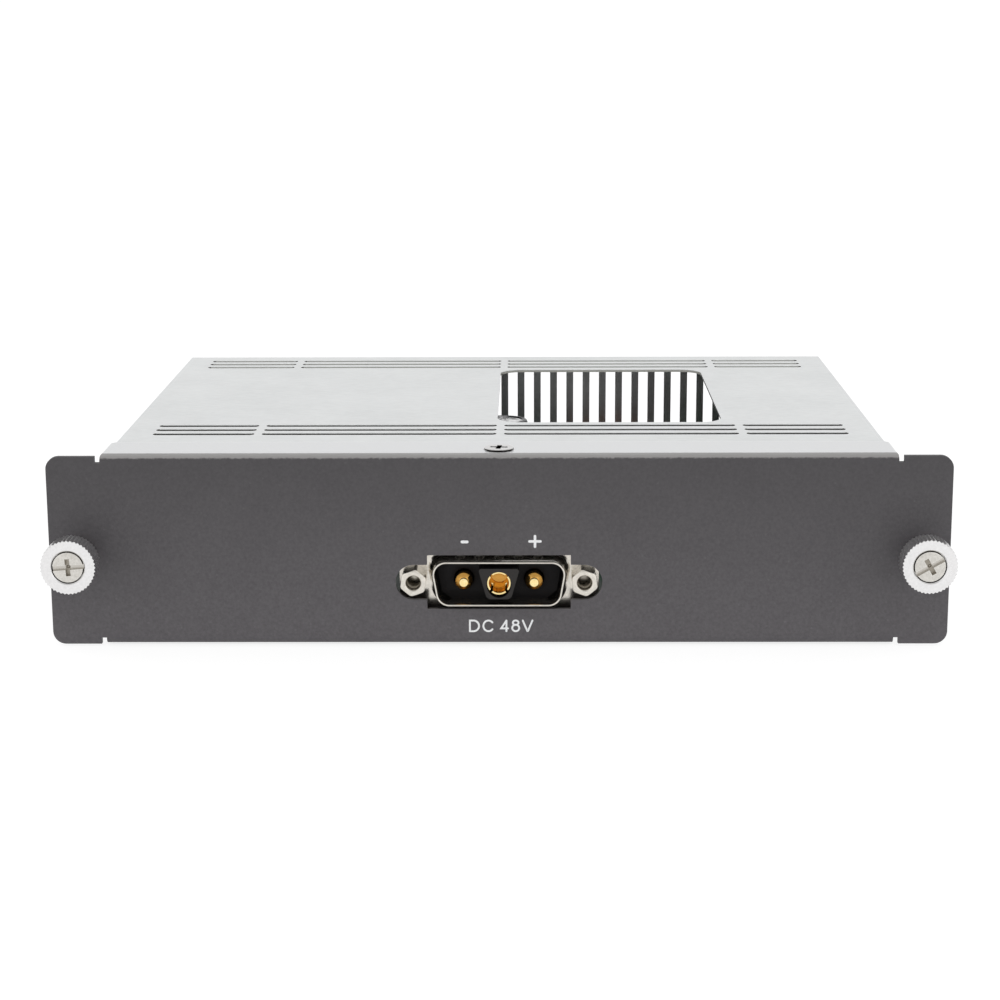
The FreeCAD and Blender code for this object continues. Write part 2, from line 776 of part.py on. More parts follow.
def inlet_insulator():
    """Moulded insulator: a face inside the shell, a raised block and the part on the board."""
    body = new_body("inlet_insulator", up=inlet_axis)
    inset = "shell_wall + inlet_fit"
    face = front(body, insulator_face)
    d_outline(face, inset)
    pad(body, face, f"{inlet_rear} - {insulator_face}", flip=True)
    bevel_edges(
        body, f"shell_corner - {inset}", lambda edge: runs_between(edge, insulator_face, inlet_rear)
    )
    rear = front(body, inlet_rear)
    rectangle(
        rear,
        "-insulator_rear_width / 2",
        "insulator_rear_width / 2",
        "-inlet_rise",
        "insulator_rear_rise",
    )
    pad(body, rear, "insulator_rear_depth", flip=True)
    tower = front(body, insulator_face)
    outline(
        tower,
        [
            ("-tower_narrow / 2", "-tower_height / 2"),
            ("tower_narrow / 2", "-tower_height / 2"),
            ("tower_width / 2", "tower_height / 2"),
            ("-tower_width / 2", "tower_height / 2"),
        ],
    )
    pad(body, tower, "tower_reach")
    bevel_edges(body, "tower_corner", lambda edge: runs_between(edge, tower_front, insulator_face))
    wells = front(body, insulator_face)
    for sign in ("1", "-1"):
        circle(wells, f"{sign} * contact_pitch", "0", "pin_well")
    cut(body, wells, "pin_well_depth")
    middle_well = front(body, tower_front)
    circle(middle_well, "0", "0", "ring_radius + inlet_fit")
    cut(body, middle_well, f"{ring_end} - {tower_front}")
    passages = front(body, insulator_face)
    half = "(tail_width / 2 + inlet_fit)"
    for place in ("-1", "0", "1"):
        middle = f"{place} * contact_pitch"
        rectangle(passages, f"{middle} - {half}", f"{middle} + {half}", f"-{half}", half)
    cut(body, passages, f"{inlet_rear} + insulator_rear_depth - {insulator_face}")


def contact_tail(body, start):
    """The square rear end of a contact, which turns down to the board behind the insulator."""
    half = "tail_width / 2"
    shank = front(body, start)
    rectangle(shank, f"-{half}", half, f"-{half}", half)
    pad(body, shank, f"{contact_end} - {start}", flip=True)
    foot = front(body, f"{contact_end} - tail_width")
    rectangle(foot, f"-{half}", half, "-inlet_rise", half)
    pad(body, foot, "tail_width", flip=True)


def pin_contact(label, sign):
    """One gold pin: a shoulder down in its well and a thinner pin."""
    body = new_body(label, across=f"{sign} * contact_pitch", up=inlet_axis)
    tip = f"({insulator_face} - pin_reach)"
    shoulder = f"({insulator_face} + pin_shoulder_sink)"
    well_floor = f"({insulator_face} + pin_well_depth)"
    profile = plan(body)
    outline(
        profile,
        [
            ("0", tip),
            ("pin_radius", tip),
            ("pin_radius", shoulder),
            ("pin_shoulder", shoulder),
            ("pin_shoulder", well_floor),
            ("0", well_floor),
        ],
    )
    turn(body, profile, "V_Axis")
    contact_tail(body, well_floor)


def ring_contact():
    """The gold socket in the middle, slit four ways so that it grips its pin."""
    body = new_body("ring_contact", up=inlet_axis)
    mouth = f"({tower_front} + ring_sink)"
    floor = f"({ring_end} - ring_floor)"
    profile = plan(body)
    outline(
        profile,
        [
            ("ring_bore", mouth),
            ("ring_radius", mouth),
            ("ring_radius", ring_end),
            ("0", ring_end),
            ("0", floor),
            ("ring_bore", floor),
        ],
    )
    turn(body, profile, "V_Axis")
    far = "((ring_radius + ring_slit) / sqrt(2))"
    half = "(ring_slit / 2 / sqrt(2))"
    for lean in ("1", "-1"):
        slit = front(body, mouth)
        corners = []
        for sign in ("1", "-1"):
            corners.append((f"{sign} * ({far} + {half})", f"{sign} * {lean} * ({far} - {half})"))
            corners.append((f"{sign} * ({far} - {half})", f"{sign} * {lean} * ({far} + {half})"))
        outline(slit, corners)
        cut(body, slit, "ring_slit_depth")
    contact_tail(body, ring_end)


def jack_screws():
    """Two hexagon posts beside the inlet, tapped to take the plug's screws."""
    body = new_body("jack_screws", up=inlet_axis)
    across = "jack_spacing / 2"
    post = front(body, "inlet_setback")
    hexagon(post, across, "0", "jack_flats")
    pad(body, post, "jack_length")
    bore = front(body, "inlet_setback - jack_length")
    circle(bore, across, "0", "jack_bore")
    cut(body, bore, "jack_length - jack_floor")
    stud = front(body, "inlet_setback")
    circle(stud, across, "0", "jack_stud")
    pad(body, stud, "jack_stud_length", flip=True)
    whole_mirror(body, "YZ_Plane")


def inlet_brackets():
    """Two angle brackets, notched round the jack screws' studs, that stand the inlet on the board."""
    body = new_body("inlet_brackets", up=inlet_axis)
    inner = "(insulator_rear_width / 2 + inlet_fit)"
    outer = "(inlet_flange_width / 2)"
    top = "(lobe_height / 2)"
    notch_left = "(jack_spacing / 2 - jack_stud - inlet_fit)"
    notch_right = "(jack_spacing / 2 + jack_stud + inlet_fit)"
    notch_floor = "(-jack_stud - inlet_fit)"
    plate = front(body, inlet_rear)
    outline(
        plate,
        [
            (inner, "-inlet_rise"),
            (outer, "-inlet_rise"),
            (outer, top),
            (notch_right, top),
            (notch_right, notch_floor),
            (notch_left, notch_floor),
            (notch_left, top),
            (inner, top),
        ],
    )
    pad(body, plate, "bracket_sheet", flip=True)
    foot = plan(body, "-inlet_rise")
    rectangle(foot, inner, outer, inlet_rear, f"{inlet_rear} + bracket_foot")
    pad(body, foot, "bracket_sheet")
    whole_mirror(body, "YZ_Plane")


def knob(label, sign):
    """Knurled ring of a thumbscrew, with a mouth for the screw's head."""
    body = new_body(label, across=f"{sign} * {knob_across}", up="panel_height / 2")
    face = "-knob_reach"
    hole = "stem_radius + stem_fit"
    blank = "(knob_radius + knob_groove_depth / 2)"
    profile = plan(body)
    outline(
        profile,
        [
            (hole, knob_seat),
            ("knob_mouth", knob_seat),
            ("knob_mouth", face),
            (blank, face),
            (blank, knob_rear),
            (hole, knob_rear),
        ],
    )
    turn(body, profile, "V_Axis")
    # The flanks of neighbouring grooves meet at the tooth's tip, on the knob's radius.
    root = "(knob_radius - knob_groove_depth)"
    tip_across = "(knob_radius * sin(180 / knob_teeth))"
    tip_up = "(knob_radius * cos(180 / knob_teeth))"
    brim = "(knob_radius + knob_groove_depth)"
    spread = f"({tip_across} * ({brim} - {root}) / ({tip_up} - {root}))"
    groove = front(body, face)
    outline(groove, [(f"-{spread}", brim), ("0", root), (spread, brim)])
    first_groove = cut(body, groove, "knob_length")
    knurl = body.newObject("PartDesign::PolarPattern", "knurl")
    knurl.Originals = [first_groove]
    knurl.Axis = (origin_feature(body, "Y_Axis"), [""])
    knurl.Angle = 360
    knurl.setExpression("Occurrences", bound("knob_teeth"))
    body.Tip = knurl
    doc.recompute()


def captive_screw(label, sign, angle):
    """Slotted screw of a thumbscrew: head in the knob, stem, clip groove and threaded end."""
    body = new_body(label, across=f"{sign} * {knob_across}", up="panel_height / 2")
    head_face = "(stem_head_sink - knob_reach)"
    groove_start = f"({clip_start} - stem_fit)"
    groove_end = f"({clip_start} + clip_sheet + groove_run)"
    profile = plan(body)
    outline(
        profile,
        [
            ("0", head_face),
            ("stem_head", head_face),
            ("stem_head", knob_seat),
            ("stem_radius", knob_seat),
            ("stem_radius", groove_start),
            ("groove_radius", groove_start),
            ("groove_radius", groove_end),
            ("thread_radius", groove_end),
            ("thread_radius", "thread_end"),
            ("0", "thread_end"),
        ],
    )
    turn(body, profile, "V_Axis")
    slot = front(body, head_face)
    rectangle(slot, "-knob_mouth", "knob_mouth", "-slot_width / 2", "slot_width / 2")
    cut(body, slot, "slot_depth")
    cross = front(body, head_face)
    rectangle(cross, "-slot_width / 2", "slot_width / 2", "-cross_length / 2", "cross_length / 2")
    cut(body, cross, "slot_depth")
    body.Placement.Rotation = FreeCAD.Rotation(FreeCAD.Vector(0, 1, 0), number(angle))
    body.setExpression("Placement.Rotation.Angle", bound(angle))


def spring(label, sign):
    """Coil spring between a knob and the panel, drawn through sections turned step by step."""
    body = new_body(label, across=f"{sign} * {knob_across}", up="panel_height / 2")
    inner = "spring_radius - spring_wire / 2"
    outer = "spring_radius + spring_wire / 2"
    steps = int(number("spring_turns * spring_facets"))
    rise = f"(-{knob_rear} - spring_wire) / (spring_turns * spring_facets)"
    sections = []
    for step in range(steps + 1):
        wire = plan(body)
        rectangle(wire, inner, outer, knob_rear, f"{knob_rear} + spring_wire")
        wire.AttachmentOffset = FreeCAD.Placement(
            FreeCAD.Vector(0, 0, 0), FreeCAD.Rotation(FreeCAD.Vector(0, 1, 0), 1)
        )
        wire.setExpression("AttachmentOffset.Base.y", bound(f"{step} * {rise}"))
        wire.setExpression("AttachmentOffset.Rotation.Angle", bound(f"{step} * 360 / spring_facets"))
        sections.append(wire)
    doc.recompute()
    coil = body.newObject("PartDesign::AdditiveLoft", "coil")
    coil.Profile = sections[0]
    coil.Sections = sections[1:]
    coil.Ruled = True
    doc.recompute()


def retaining_clip(label, sign):
    """Open clip in the groove of a captive screw, behind the panel."""
    body = new_body(label, across=f"{sign} * {knob_across}", up="panel_height / 2")
    ring = front(body, clip_start)
    circle(ring, "0", "0", "clip_radius")
    pad(body, ring, "clip_sheet", flip=True)
    bore = front(body, clip_start)
    circle(bore, "0", "0", "clip_bore")
    cut(body, bore, "clip_sheet")
    mouth = front(body, clip_start)
    rectangle(mouth, "-clip_mouth / 2", "clip_mouth / 2", "-clip_radius - clip_sheet", "0")
    cut(body, mouth, "clip_sheet")


def capacitors(label, across, depth, radius, height, pitch):
    """Two upright capacitors side by side."""
    body = new_body(label, across=f"{across} - {pitch}", depth=depth, up=board_top)
    can = plan(body)
    circle(can, "0", "0", radius)
    pad(body, can, height)
    whole_row(body, "X_Axis", pitch, "2")


def transformer_core():
    """Ferrite core of the transformer: two yokes joined by three legs."""
    body = new_body("transformer_core", under_window, "transformer_depth", board_top)
    frame = front(body)
    rectangle(frame, "-core_width / 2", "core_width / 2", "0", "core_height")
    for sign in ("1", "-1"):
        near = f"{sign} * core_middle_leg / 2"
        far = f"{sign} * (core_width / 2 - core_leg)"
        left, right = (near, far) if sign == "1" else (far, near)
        rectangle(frame, left, right, "core_yoke", "core_height - core_yoke")
    pad(body, frame, "core_length", both=True)


def transformer_coil():
    """Winding round the middle leg of the transformer's core."""
    body = new_body("transformer_coil", under_window, "transformer_depth", board_top)
    coil = plan(body, "core_yoke + coil_gap")
    outer_across = "(core_width / 2 - core_leg - coil_gap)"
    outer_depth = "(core_length / 2 + coil_overhang)"
    inner_across = "(core_middle_leg / 2 + coil_gap)"
    inner_depth = "(core_length / 2 + coil_gap)"
    rectangle(coil, f"-{outer_across}", outer_across, f"-{outer_depth}", outer_depth)
    rectangle(coil, f"-{inner_across}", inner_across, f"-{inner_depth}", inner_depth)
    pad(body, coil, "core_height - 2 * core_yoke - 2 * coil_gap")
    corners = [
        dict(x=f"{a} * {outer_across}", y=f"{b} * {outer_depth}") for a in (1, -1) for b in (1, -1)
    ]
    bevel_edges(body, "coil_bevel", lambda edge: any(lies_at(edge, **c) for c in corners))


def filter_choke_core():
    """Closed ferrite frame of the input filter choke, lying above the board on its coils."""
    raised = f"({board_top} + filter_coil + coil_gap)"
    body = new_body("filter_choke_core", filter_across, "filter_depth", raised)
    frame = plan(body)
    rectangle(frame, "-filter_width / 2", "filter_width / 2", "-filter_length / 2", "filter_length / 2")
    across = "(filter_width / 2 - filter_leg)"
    depth = "(filter_length / 2 - filter_leg)"
    rectangle(frame, f"-{across}", across, f"-{depth}", depth)
    pad(body, frame, "filter_height")


def filter_choke_coils():
    """Two windings on the long legs of the filter choke."""
    body = new_body("filter_choke_coils", filter_across, "filter_depth", board_top)
    middle = "(filter_length / 2 - filter_leg / 2)"
    wrap = "(filter_leg / 2 + coil_gap + filter_coil)"
    hole = "(filter_leg / 2 + coil_gap)"
    hole_top = "(filter_coil + filter_height + 2 * coil_gap)"
    loop = side(body)
    rectangle(loop, f"{middle} - {wrap}", f"{middle} + {wrap}", "0", f"{hole_top} + filter_coil")
    rectangle(loop, f"{middle} - {hole}", f"{middle} + {hole}", "filter_coil", hole_top)
    pad(body, loop, "filter_width - 2 * filter_leg - 2 * coil_gap", both=True)
    whole_mirror(body, "XZ_Plane")


def output_choke():
    """Shielded output choke: a square ferrite block with cut corners."""
    body = new_body("output_choke", under_window, "choke_depth", board_top)
    block = plan(body)
    half = "(choke_side / 2)"
    rectangle(block, f"-{half}", half, f"-{half}", half)
    pad(body, block, "choke_height")
    corners = [dict(x=f"{a} * {half}", y=f"{b} * {half}") for a in (1, -1) for b in (1, -1)]
    bevel_edges(body, "choke_chamfer", lambda edge: any(lies_at(edge, **c) for c in corners))


def fuse_body():
    """Square ceramic body of the input fuse, between its end caps."""
    body = new_body("fuse_body", fuse_across, "fuse_depth", f"{board_top} + fuse_rise")
    tube = side(body)
    rectangle(tube, "-fuse_body_half", "fuse_body_half", "-fuse_body_half", "fuse_body_half")
    pad(body, tube, "fuse_length - 2 * fuse_cap_length", both=True)


def fuse_caps():
    """Two metal end caps of the input fuse."""
    body = new_body("fuse_caps", fuse_across, "fuse_depth", f"{board_top} + fuse_rise")
    cap = side(body, "fuse_length / 2 - fuse_cap_length")
    rectangle(cap, "-fuse_cap_half", "fuse_cap_half", "-fuse_cap_half", "fuse_cap_half")
    pad(body, cap, "fuse_cap_length")
    whole_mirror(body, "YZ_Plane")


def fuse_clips():
    """Two sprung clips that hold the fuse by its caps."""
    body = new_body("fuse_clips", fuse_across, "fuse_depth", board_top)
    inner = "(fuse_cap_half + fuse_fit)"
    outer = "(fuse_cap_half + fuse_fit + fuse_clip_sheet)"
    high = "(fuse_rise + fuse_cap_half / 2)"
    channel = side(body, "fuse_length / 2 - fuse_cap_length / 2 - fuse_clip_length / 2")
    outline(
        channel,
        [
            (f"-{outer}", "0"),
            (outer, "0"),
            (outer, high),
            (inner, high),
            (inner, "fuse_clip_sheet"),
            (f"-{inner}", "fuse_clip_sheet"),
            (f"-{inner}", high),
            (f"-{outer}", high),
        ],
    )
    pad(body, channel, "fuse_clip_length")
    whole_mirror(body, "YZ_Plane")


def heat_sink():
    """Extruded heat sink: an upright plate with a row of fins on its outer side."""
    body = new_body("heat_sink", sink_across, "sink_front", board_top)
    plate = plan(body)
    rectangle(plate, "-sink_plate", "0", "0", "sink_length")
    pad(body, plate, "sink_height")
    fin = plan(body)
    rectangle(fin, "-sink_plate - sink_fin_reach", "-sink_plate", "0", "sink_fin")
    first_fin = pad(body, fin, "sink_height")
    row_of(body, [first_fin], "Y_Axis", "sink_length - sink_fin", "sink_fins")


def power_transistors():
    """Power transistors with their tabs flat on the heat sink and three leads each to the board."""
    first = "(sink_front + (sink_length - (transistor_count - 1) * transistor_pitch) / 2)"
    body = new_body("power_transistors", sink_across, first, board_top)
    tab_top = "transistor_rise + transistor_tab_height"
    body_top = "transistor_rise + transistor_body_height"
    half = "(transistor_width / 2)"
    tab = side(body)
    rectangle(tab, f"-{half}", half, "transistor_rise", tab_top)
    pad(body, tab, "transistor_tab")
    block = side(body)
    rectangle(block, f"-{half}", half, "transistor_rise", body_top)
    pad(body, block, "transistor_body")
    leads = side(body, "transistor_tab")
    for place in ("-1", "0", "1"):
        middle = f"{place} * lead_pitch"
        rectangle(leads, f"{middle} - lead_width / 2", f"{middle} + lead_width / 2", "0", "transistor_rise")
    pad(body, leads, "lead_sheet")
    whole_row(body, "Y_Axis", "(transistor_count - 1) * transistor_pitch", "transistor_count")


def transistor_clamp():
    """Spring-steel strip hooked over the heat sink that presses on the transistors."""
    body = new_body("transistor_clamp", sink_across, "sink_front + sink_length / 2", board_top)
    strip = front(body)
    low = "(transistor_rise + transistor_body_height - clamp_lap)"
    outline(
        strip,
        [
            ("-sink_plate", "sink_height"),
            ("transistor_body", "sink_height"),
            ("transistor_body", low),
            ("transistor_body + clamp_sheet", low),
            ("transistor_body + clamp_sheet", "sink_height + clamp_sheet"),
            ("-sink_plate", "sink_height + clamp_sheet"),
        ],
    )
    pad(body, strip, "sink_length", both=True)


def control_chips():
    """Control and driver chips in a row on the board."""
    body = new_body("control_chips", chip_across, "chip_depth", board_top)
    block = plan(body)
    rectangle(block, "-chip_width / 2", "chip_width / 2", "-chip_length / 2", "chip_length / 2")
    pad(body, block, "chip_height")
    whole_row(body, "Y_Axis", "(chip_count - 1) * chip_pitch", "chip_count")


def output_plug():
    """Housing of the output plug, which reaches out through the rear wall."""
    body = new_body("output_plug", plug_across, plug_start, board_top)
    block = front(body)
    rectangle(block, "-plug_width / 2", "plug_width / 2", "0", "plug_height")
    pad(body, block, "plug_length", flip=True)
    way = front(body)
    rectangle(
        way,
        f"{first_way} - plug_slot_width / 2",
        f"{first_way} + plug_slot_width / 2",
        "plug_slot_rise",
        "plug_slot_rise + plug_slot_height",
    )
    slot = cut(body, way, "plug_length")
    row_of(body, [slot], "X_Axis", "(plug_ways - 1) * plug_way_pitch", "plug_ways")


def output_blades():
    """Contact blades of the output plug, turned down to the board at the inner end."""
    body = new_body("output_blades", plug_across, plug_start, board_top)
    blade = side(body, first_way)
    low = "(plug_slot_rise + blade_fit)"
    high = "(plug_slot_rise + plug_slot_height - blade_fit)"
    end = "(plug_length - blade_recess)"
    outline(
        blade,
        [("-blade_tail", "0"), ("0", "0"), ("0", low), (end, low), (end, high), ("-blade_tail", high)],
    )
    pad(body, blade, "plug_slot_width - 2 * blade_fit", both=True)
    whole_row(body, "X_Axis", "(plug_ways - 1) * plug_way_pitch", "plug_ways")


def build():
    front_panel()
    top_cover()
    base_tray()
    flange_screws()
    circuit_board()
    board_standoffs()
    inlet_shell()
    inlet_insulator()
    pin_contact("negative_pin", "-1")
    pin_contact("positive_pin", "1")
    ring_contact()
    jack_screws()
    inlet_brackets()
    for place, sign in (("left", "-1"), ("right", "1")):
        knob(f"{place}_knob", sign)
        captive_screw(f"{place}_captive_screw", sign, f"{place}_slot_turn")
        spring(f"{place}_spring", sign)
        retaining_clip(f"{place}_clip", sign)
    capacitors(
        "input_capacitors",
        input_can_across,
        "input_can_depth",
        "input_can_radius",
        "input_can_height",
        "input_can_pitch",
    )
    capacitors(
        "output_capacitors",
        output_can_across,
        output_can_depth,
        "output_can_radius",
        "output_can_height",
        "output_can_pitch",
    )
    transformer_core()
    transformer_coil()
    filter_choke_core()
    filter_choke_coils()
    output_choke()
    fuse_body()
    fuse_caps()
    fuse_clips()
    heat_sink()
    power_transistors()
    transistor_clamp()
    control_chips()
    output_plug()
    output_blades()


def check():
    """Stops if anything in the document failed or a sub-part has no sound solid."""
    doc.recompute()
    for item in doc.Objects:
        if "Invalid" in item.State or "Error" in item.State:
            raise ValueError(f"{item.Label} failed")
    for body in sub_parts:
        if body.Shape.isNull() or not body.Shape.isValid() or not body.Shape.Solids:
            raise ValueError(f"{body.Label} has no sound solid")


def write():
    os.makedirs("parts", exist_ok=True)
    for body in sub_parts:
        body.Shape.exportStep(f"parts/{body.Label}.step")
        print(body.Label, len(body.Shape.Solids), round(body.Shape.Volume, 2))


build()
check()
write()
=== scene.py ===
# Looks of a slide-in direct-current power supply module, put together from the tray upwards.
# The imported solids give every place; shapes are drawn in millimetres and stored in metres.
from math import atan2, cos, exp, hypot, pi, radians, sin, tan

import bmesh
import bpy
from mathutils import Matrix, Vector


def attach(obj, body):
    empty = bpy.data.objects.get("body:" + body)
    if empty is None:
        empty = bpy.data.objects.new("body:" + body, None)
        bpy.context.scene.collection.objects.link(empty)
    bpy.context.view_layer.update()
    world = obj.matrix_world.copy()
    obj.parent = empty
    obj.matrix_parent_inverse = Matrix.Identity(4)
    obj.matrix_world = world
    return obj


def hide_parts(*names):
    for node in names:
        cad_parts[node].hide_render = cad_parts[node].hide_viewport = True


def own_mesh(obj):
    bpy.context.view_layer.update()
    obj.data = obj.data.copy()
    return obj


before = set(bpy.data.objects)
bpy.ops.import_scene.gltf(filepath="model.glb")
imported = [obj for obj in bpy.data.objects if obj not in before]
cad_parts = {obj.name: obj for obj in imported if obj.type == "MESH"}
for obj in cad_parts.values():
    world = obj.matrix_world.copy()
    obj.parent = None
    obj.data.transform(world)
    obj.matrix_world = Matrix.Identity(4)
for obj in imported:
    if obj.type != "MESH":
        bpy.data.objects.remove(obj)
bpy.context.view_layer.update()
scene = bpy.context.scene
scene.view_settings.view_transform = "Standard"


# Tray: floor, low side walls and slotted rear wall of the case, folded from one sheet of
# zinc-plated steel. The rear wall's upright slots let the cooling air out.
def tint(red, green, blue):
    """A colour as a colour picker reads it, turned into the linear values of a shader."""
    parts = [c / 255 for c in (red, green, blue)]
    return [c / 12.92 if c < 0.04 else ((c + 0.055) / 1.055) ** 2.4 for c in parts] + [1.0]


def node(tree, kind, sources=None, **settings):
    """Adds a node; each source is another node's socket or a plain value."""
    added = tree.nodes.new(kind)
    for setting, value in settings.items():
        setattr(added, setting, value)
    for socket, source in (sources or {}).items():
        if isinstance(source, bpy.types.NodeSocket):
            tree.links.new(source, added.inputs[socket])
        else:
            added.inputs[socket].default_value = source
    return added


def first(tree, kind, sources=None, **settings):
    """Adds a node and gives its first output."""
    return node(tree, kind, sources, **settings).outputs[0]


def vectors(tree, way, *values):
    return node(tree, "ShaderNodeVectorMath", dict(enumerate(values)), operation=way).outputs


def ramp(tree, value, low, high, **ends):
    """Nought to one, or between the ends given, as a value runs from low to high."""
    sources = {"Value": value, "From Min": low, "From Max": high}
    sources.update({"To " + end: result for end, result in ends.items()})
    return first(tree, "ShaderNodeMapRange", sources)


def own_place(tree):
    return node(tree, "ShaderNodeTexCoord").outputs["Object"]


def mixed(tree, share, under, over):
    return node(tree, "ShaderNodeMix", {0: share, 6: under, 7: over}, data_type="RGBA").outputs[2]


def shader_group(name, inputs, outputs):
    """A group of shader nodes; returns it with the sockets inside it."""
    group = bpy.data.node_groups.new(name, "ShaderNodeTree")
    for label, kind, value in inputs:
        group.interface.new_socket(label, in_out="INPUT", socket_type=kind).default_value = value
    for label in outputs:
        group.interface.new_socket(label, in_out="OUTPUT", socket_type="NodeSocketFloat")
    asked, given = group.nodes.new("NodeGroupInput"), group.nodes.new("NodeGroupOutput")
    return group, asked.outputs, given.inputs


# Fine grain of a rolled, cast or moulded skin, and the slow clouds of handling over it.
grain_group, asked, given = shader_group(
    "skin_grain",
    [("Stretch", "NodeSocketVector", (1, 1, 1)), ("Scale", "NodeSocketFloat", 1500.0)],
    ["Shade", "Cloud"],
)
cloud_scale = 70.0
where = own_place(grain_group)
pulled = vectors(grain_group, "MULTIPLY", where, asked["Stretch"])[0]
for label, vector, scale, detail in (
    ("Shade", pulled, asked["Scale"], 4.0),
    ("Cloud", where, cloud_scale, 3.0),
):
    sources = {"Vector": vector, "Scale": scale, "Detail": detail, "Roughness": 0.6}
    noise = first(grain_group, "ShaderNodeTexNoise", sources)
    grain_group.links.new(ramp(grain_group, noise, 0.3, 0.7), given[label])

# Bright line along an edge: partly plating or paint rubbed thin, partly a painted highlight that
# the edge's rounding would catch.
worn_and_highlit_edge_group, asked, given = shader_group(
    "rubbed_and_highlit_edge", [("Width", "NodeSocketFloat", 0.0002)], ["Mask"]
)
rounded = first(worn_and_highlit_edge_group, "ShaderNodeBevel", {"Radius": asked["Width"]}, samples=4)
plain = node(worn_and_highlit_edge_group, "ShaderNodeNewGeometry").outputs["Normal"]
along = vectors(worn_and_highlit_edge_group, "DOT_PRODUCT", rounded, plain)["Value"]
worn_and_highlit_edge_group.links.new(ramp(worn_and_highlit_edge_group, along, 0.995, 0.85), given["Mask"])


def surface(name, dark, light, rough, grain=1500.0, stretch=(1, 1, 1), relief=0.2, metallic=0.0):
    """A material whose colour, roughness and relief follow the shared grain."""
    material = bpy.data.materials.new(name)
    material.use_nodes = True
    tree = material.node_tree
    shader = tree.nodes["Principled BSDF"].inputs
    shader["Metallic"].default_value = metallic
    asked = {"Stretch": stretch, "Scale": grain}
    skin = node(tree, "ShaderNodeGroup", asked, node_tree=grain_group).outputs
    tree.links.new(mixed(tree, skin["Shade"], tint(*dark), tint(*light)), shader["Base Color"])
    dull = ramp(tree, skin["Cloud"], 0.0, 1.0, Min=rough[0], Max=rough[1])
    tree.links.new(dull, shader["Roughness"])
    sources = {"Height": skin["Shade"], "Strength": relief, "Distance": 0.00004}
    tree.links.new(first(tree, "ShaderNodeBump", sources), shader["Normal"])
    return material


def metal(*look, **more):
    return surface(*look, metallic=1.0, **more)


def blend_colour(material, mask, over):
    """Lays a second colour over a material's own colour where a mask says so."""
    tree = material.node_tree
    base = tree.nodes["Principled BSDF"].inputs["Base Color"]
    tree.links.new(mixed(tree, mask, base.links[0].from_socket, tint(*over)), base)


def worn_and_highlit_edge_mask(tree, width):
    return first(tree, "ShaderNodeGroup", {"Width": width}, node_tree=worn_and_highlit_edge_group)


def rub_and_highlight_edges(material, over, width=0.00025):
    blend_colour(material, worn_and_highlit_edge_mask(material.node_tree, width), over)


def dress(name, material):
    """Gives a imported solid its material."""
    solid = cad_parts[name]
    if not solid.material_slots:
        solid.data.materials.append(material)
    for place in solid.material_slots:
        place.material = material


zinc = metal(
    "zinc_sheet", (218, 220, 220), (227, 229, 229), (0.28, 0.35), 1300.0, (0.4, 1, 1), 0.05
)
rub_and_highlight_edges(zinc, (238, 239, 241))
dress("base_tray", zinc)


# Stand-offs and board screws: four hexagon posts pressed into the tray's floor, and four
# pan-head screws of bright steel, with a cross recess, that hold the board down on them.
def smooth(mesh, angle=35.0):
    """Shades a mesh smooth, apart from the corners over an angle."""
    mesh.shade_smooth()
    mesh.set_sharp_from_angle(angle=radians(angle))
    return mesh


def as_mesh(shape, name):
    """Turns a bmesh into a mesh with outward faces."""
    bmesh.ops.recalc_face_normals(shape, faces=shape.faces)
    mesh = bpy.data.meshes.new(name)
    shape.to_mesh(mesh)
    shape.free()
    return mesh


def finished(shape, name, angle=35.0):
    """Turns a bmesh into a smooth mesh with merged points."""
    bmesh.ops.remove_doubles(shape, verts=shape.verts, dist=1e-5)
    return smooth(as_mesh(shape, name), angle)


def skinned(name, rings, closed=False, capped=False, angle=35.0):
    """A mesh over rings of points; a ring of one point closes it like a cone's tip."""
    shape = bmesh.new()
    rings = [[shape.verts.new(point) for point in ring] for ring in rings]
    for one, two in zip(rings, rings[1:] + rings[:1] if closed else rings[1:]):
        for k in range(max(len(one), len(two))):
            corners = [one[k % len(one)], one[(k + 1) % len(one)]]
            corners += [two[(k + 1) % len(two)], two[k % len(two)]]
            shape.faces.new(list(dict.fromkeys(corners)))
    for ring in rings if capped else []:
        shape.faces.new(ring)
    return finished(shape, name, angle)


def lathe(name, profile, steps=48):
    """Turns a profile of (radius, height) about the upright axis."""
    rings = []
    for radius, height in profile:
        turns = [2 * pi * k / steps for k in range(steps)] if radius else [0.0]
        rings.append([(radius * cos(t), radius * sin(t), height) for t in turns])
    return skinned(name, rings)


def at(x, y, z):
    return Matrix.Translation((x, y, z))


def block(x0, x1, y0, y1, z0, z1):
    shape = bmesh.new()
    bmesh.ops.create_cube(shape, size=1.0)
    size = Matrix.Diagonal((x1 - x0, y1 - y0, z1 - z0, 1))
    middle = at((x0 + x1) / 2, (y0 + y1) / 2, (z0 + z1) / 2)
    shape.transform(middle @ size)
    return finished(shape, "block")


def as_plain_mesh(holder):
    """The mesh that an object's modifiers make; the object itself is removed."""
    bpy.context.view_layer.update()
    made = holder.evaluated_get(bpy.context.evaluated_depsgraph_get())
    mesh = bpy.data.meshes.new_from_object(made)
    bpy.data.objects.remove(holder)
    return mesh


def placed(name, data):
    held = bpy.data.objects.new(name, data)
    scene.collection.objects.link(held)
    return held


def carve(mesh, *cutters):
    """Cuts shapes out of a mesh."""
    work = placed("work", mesh)
    tools = [placed("tool", cutter) for cutter in cutters]
    for tool in tools:
        step = work.modifiers.new("cut", "BOOLEAN")
        step.operation = "DIFFERENCE"
        step.solver = "EXACT"
        step.object = tool
    result = as_plain_mesh(work)
    for tool in tools:
        bpy.data.objects.remove(tool)
    return smooth(result)


def piece(name, mesh, body="chassis", stands_for=(), material=None):
    """Sets a finished mesh, drawn in millimetres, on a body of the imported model."""
    mesh.transform(Matrix.Scale(0.001, 4))
    if material:
        mesh.materials.clear()
        mesh.materials.append(material)
    added = placed(name, mesh)
    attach(added, body)
    if stands_for:
        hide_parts(*stands_for)
    return added


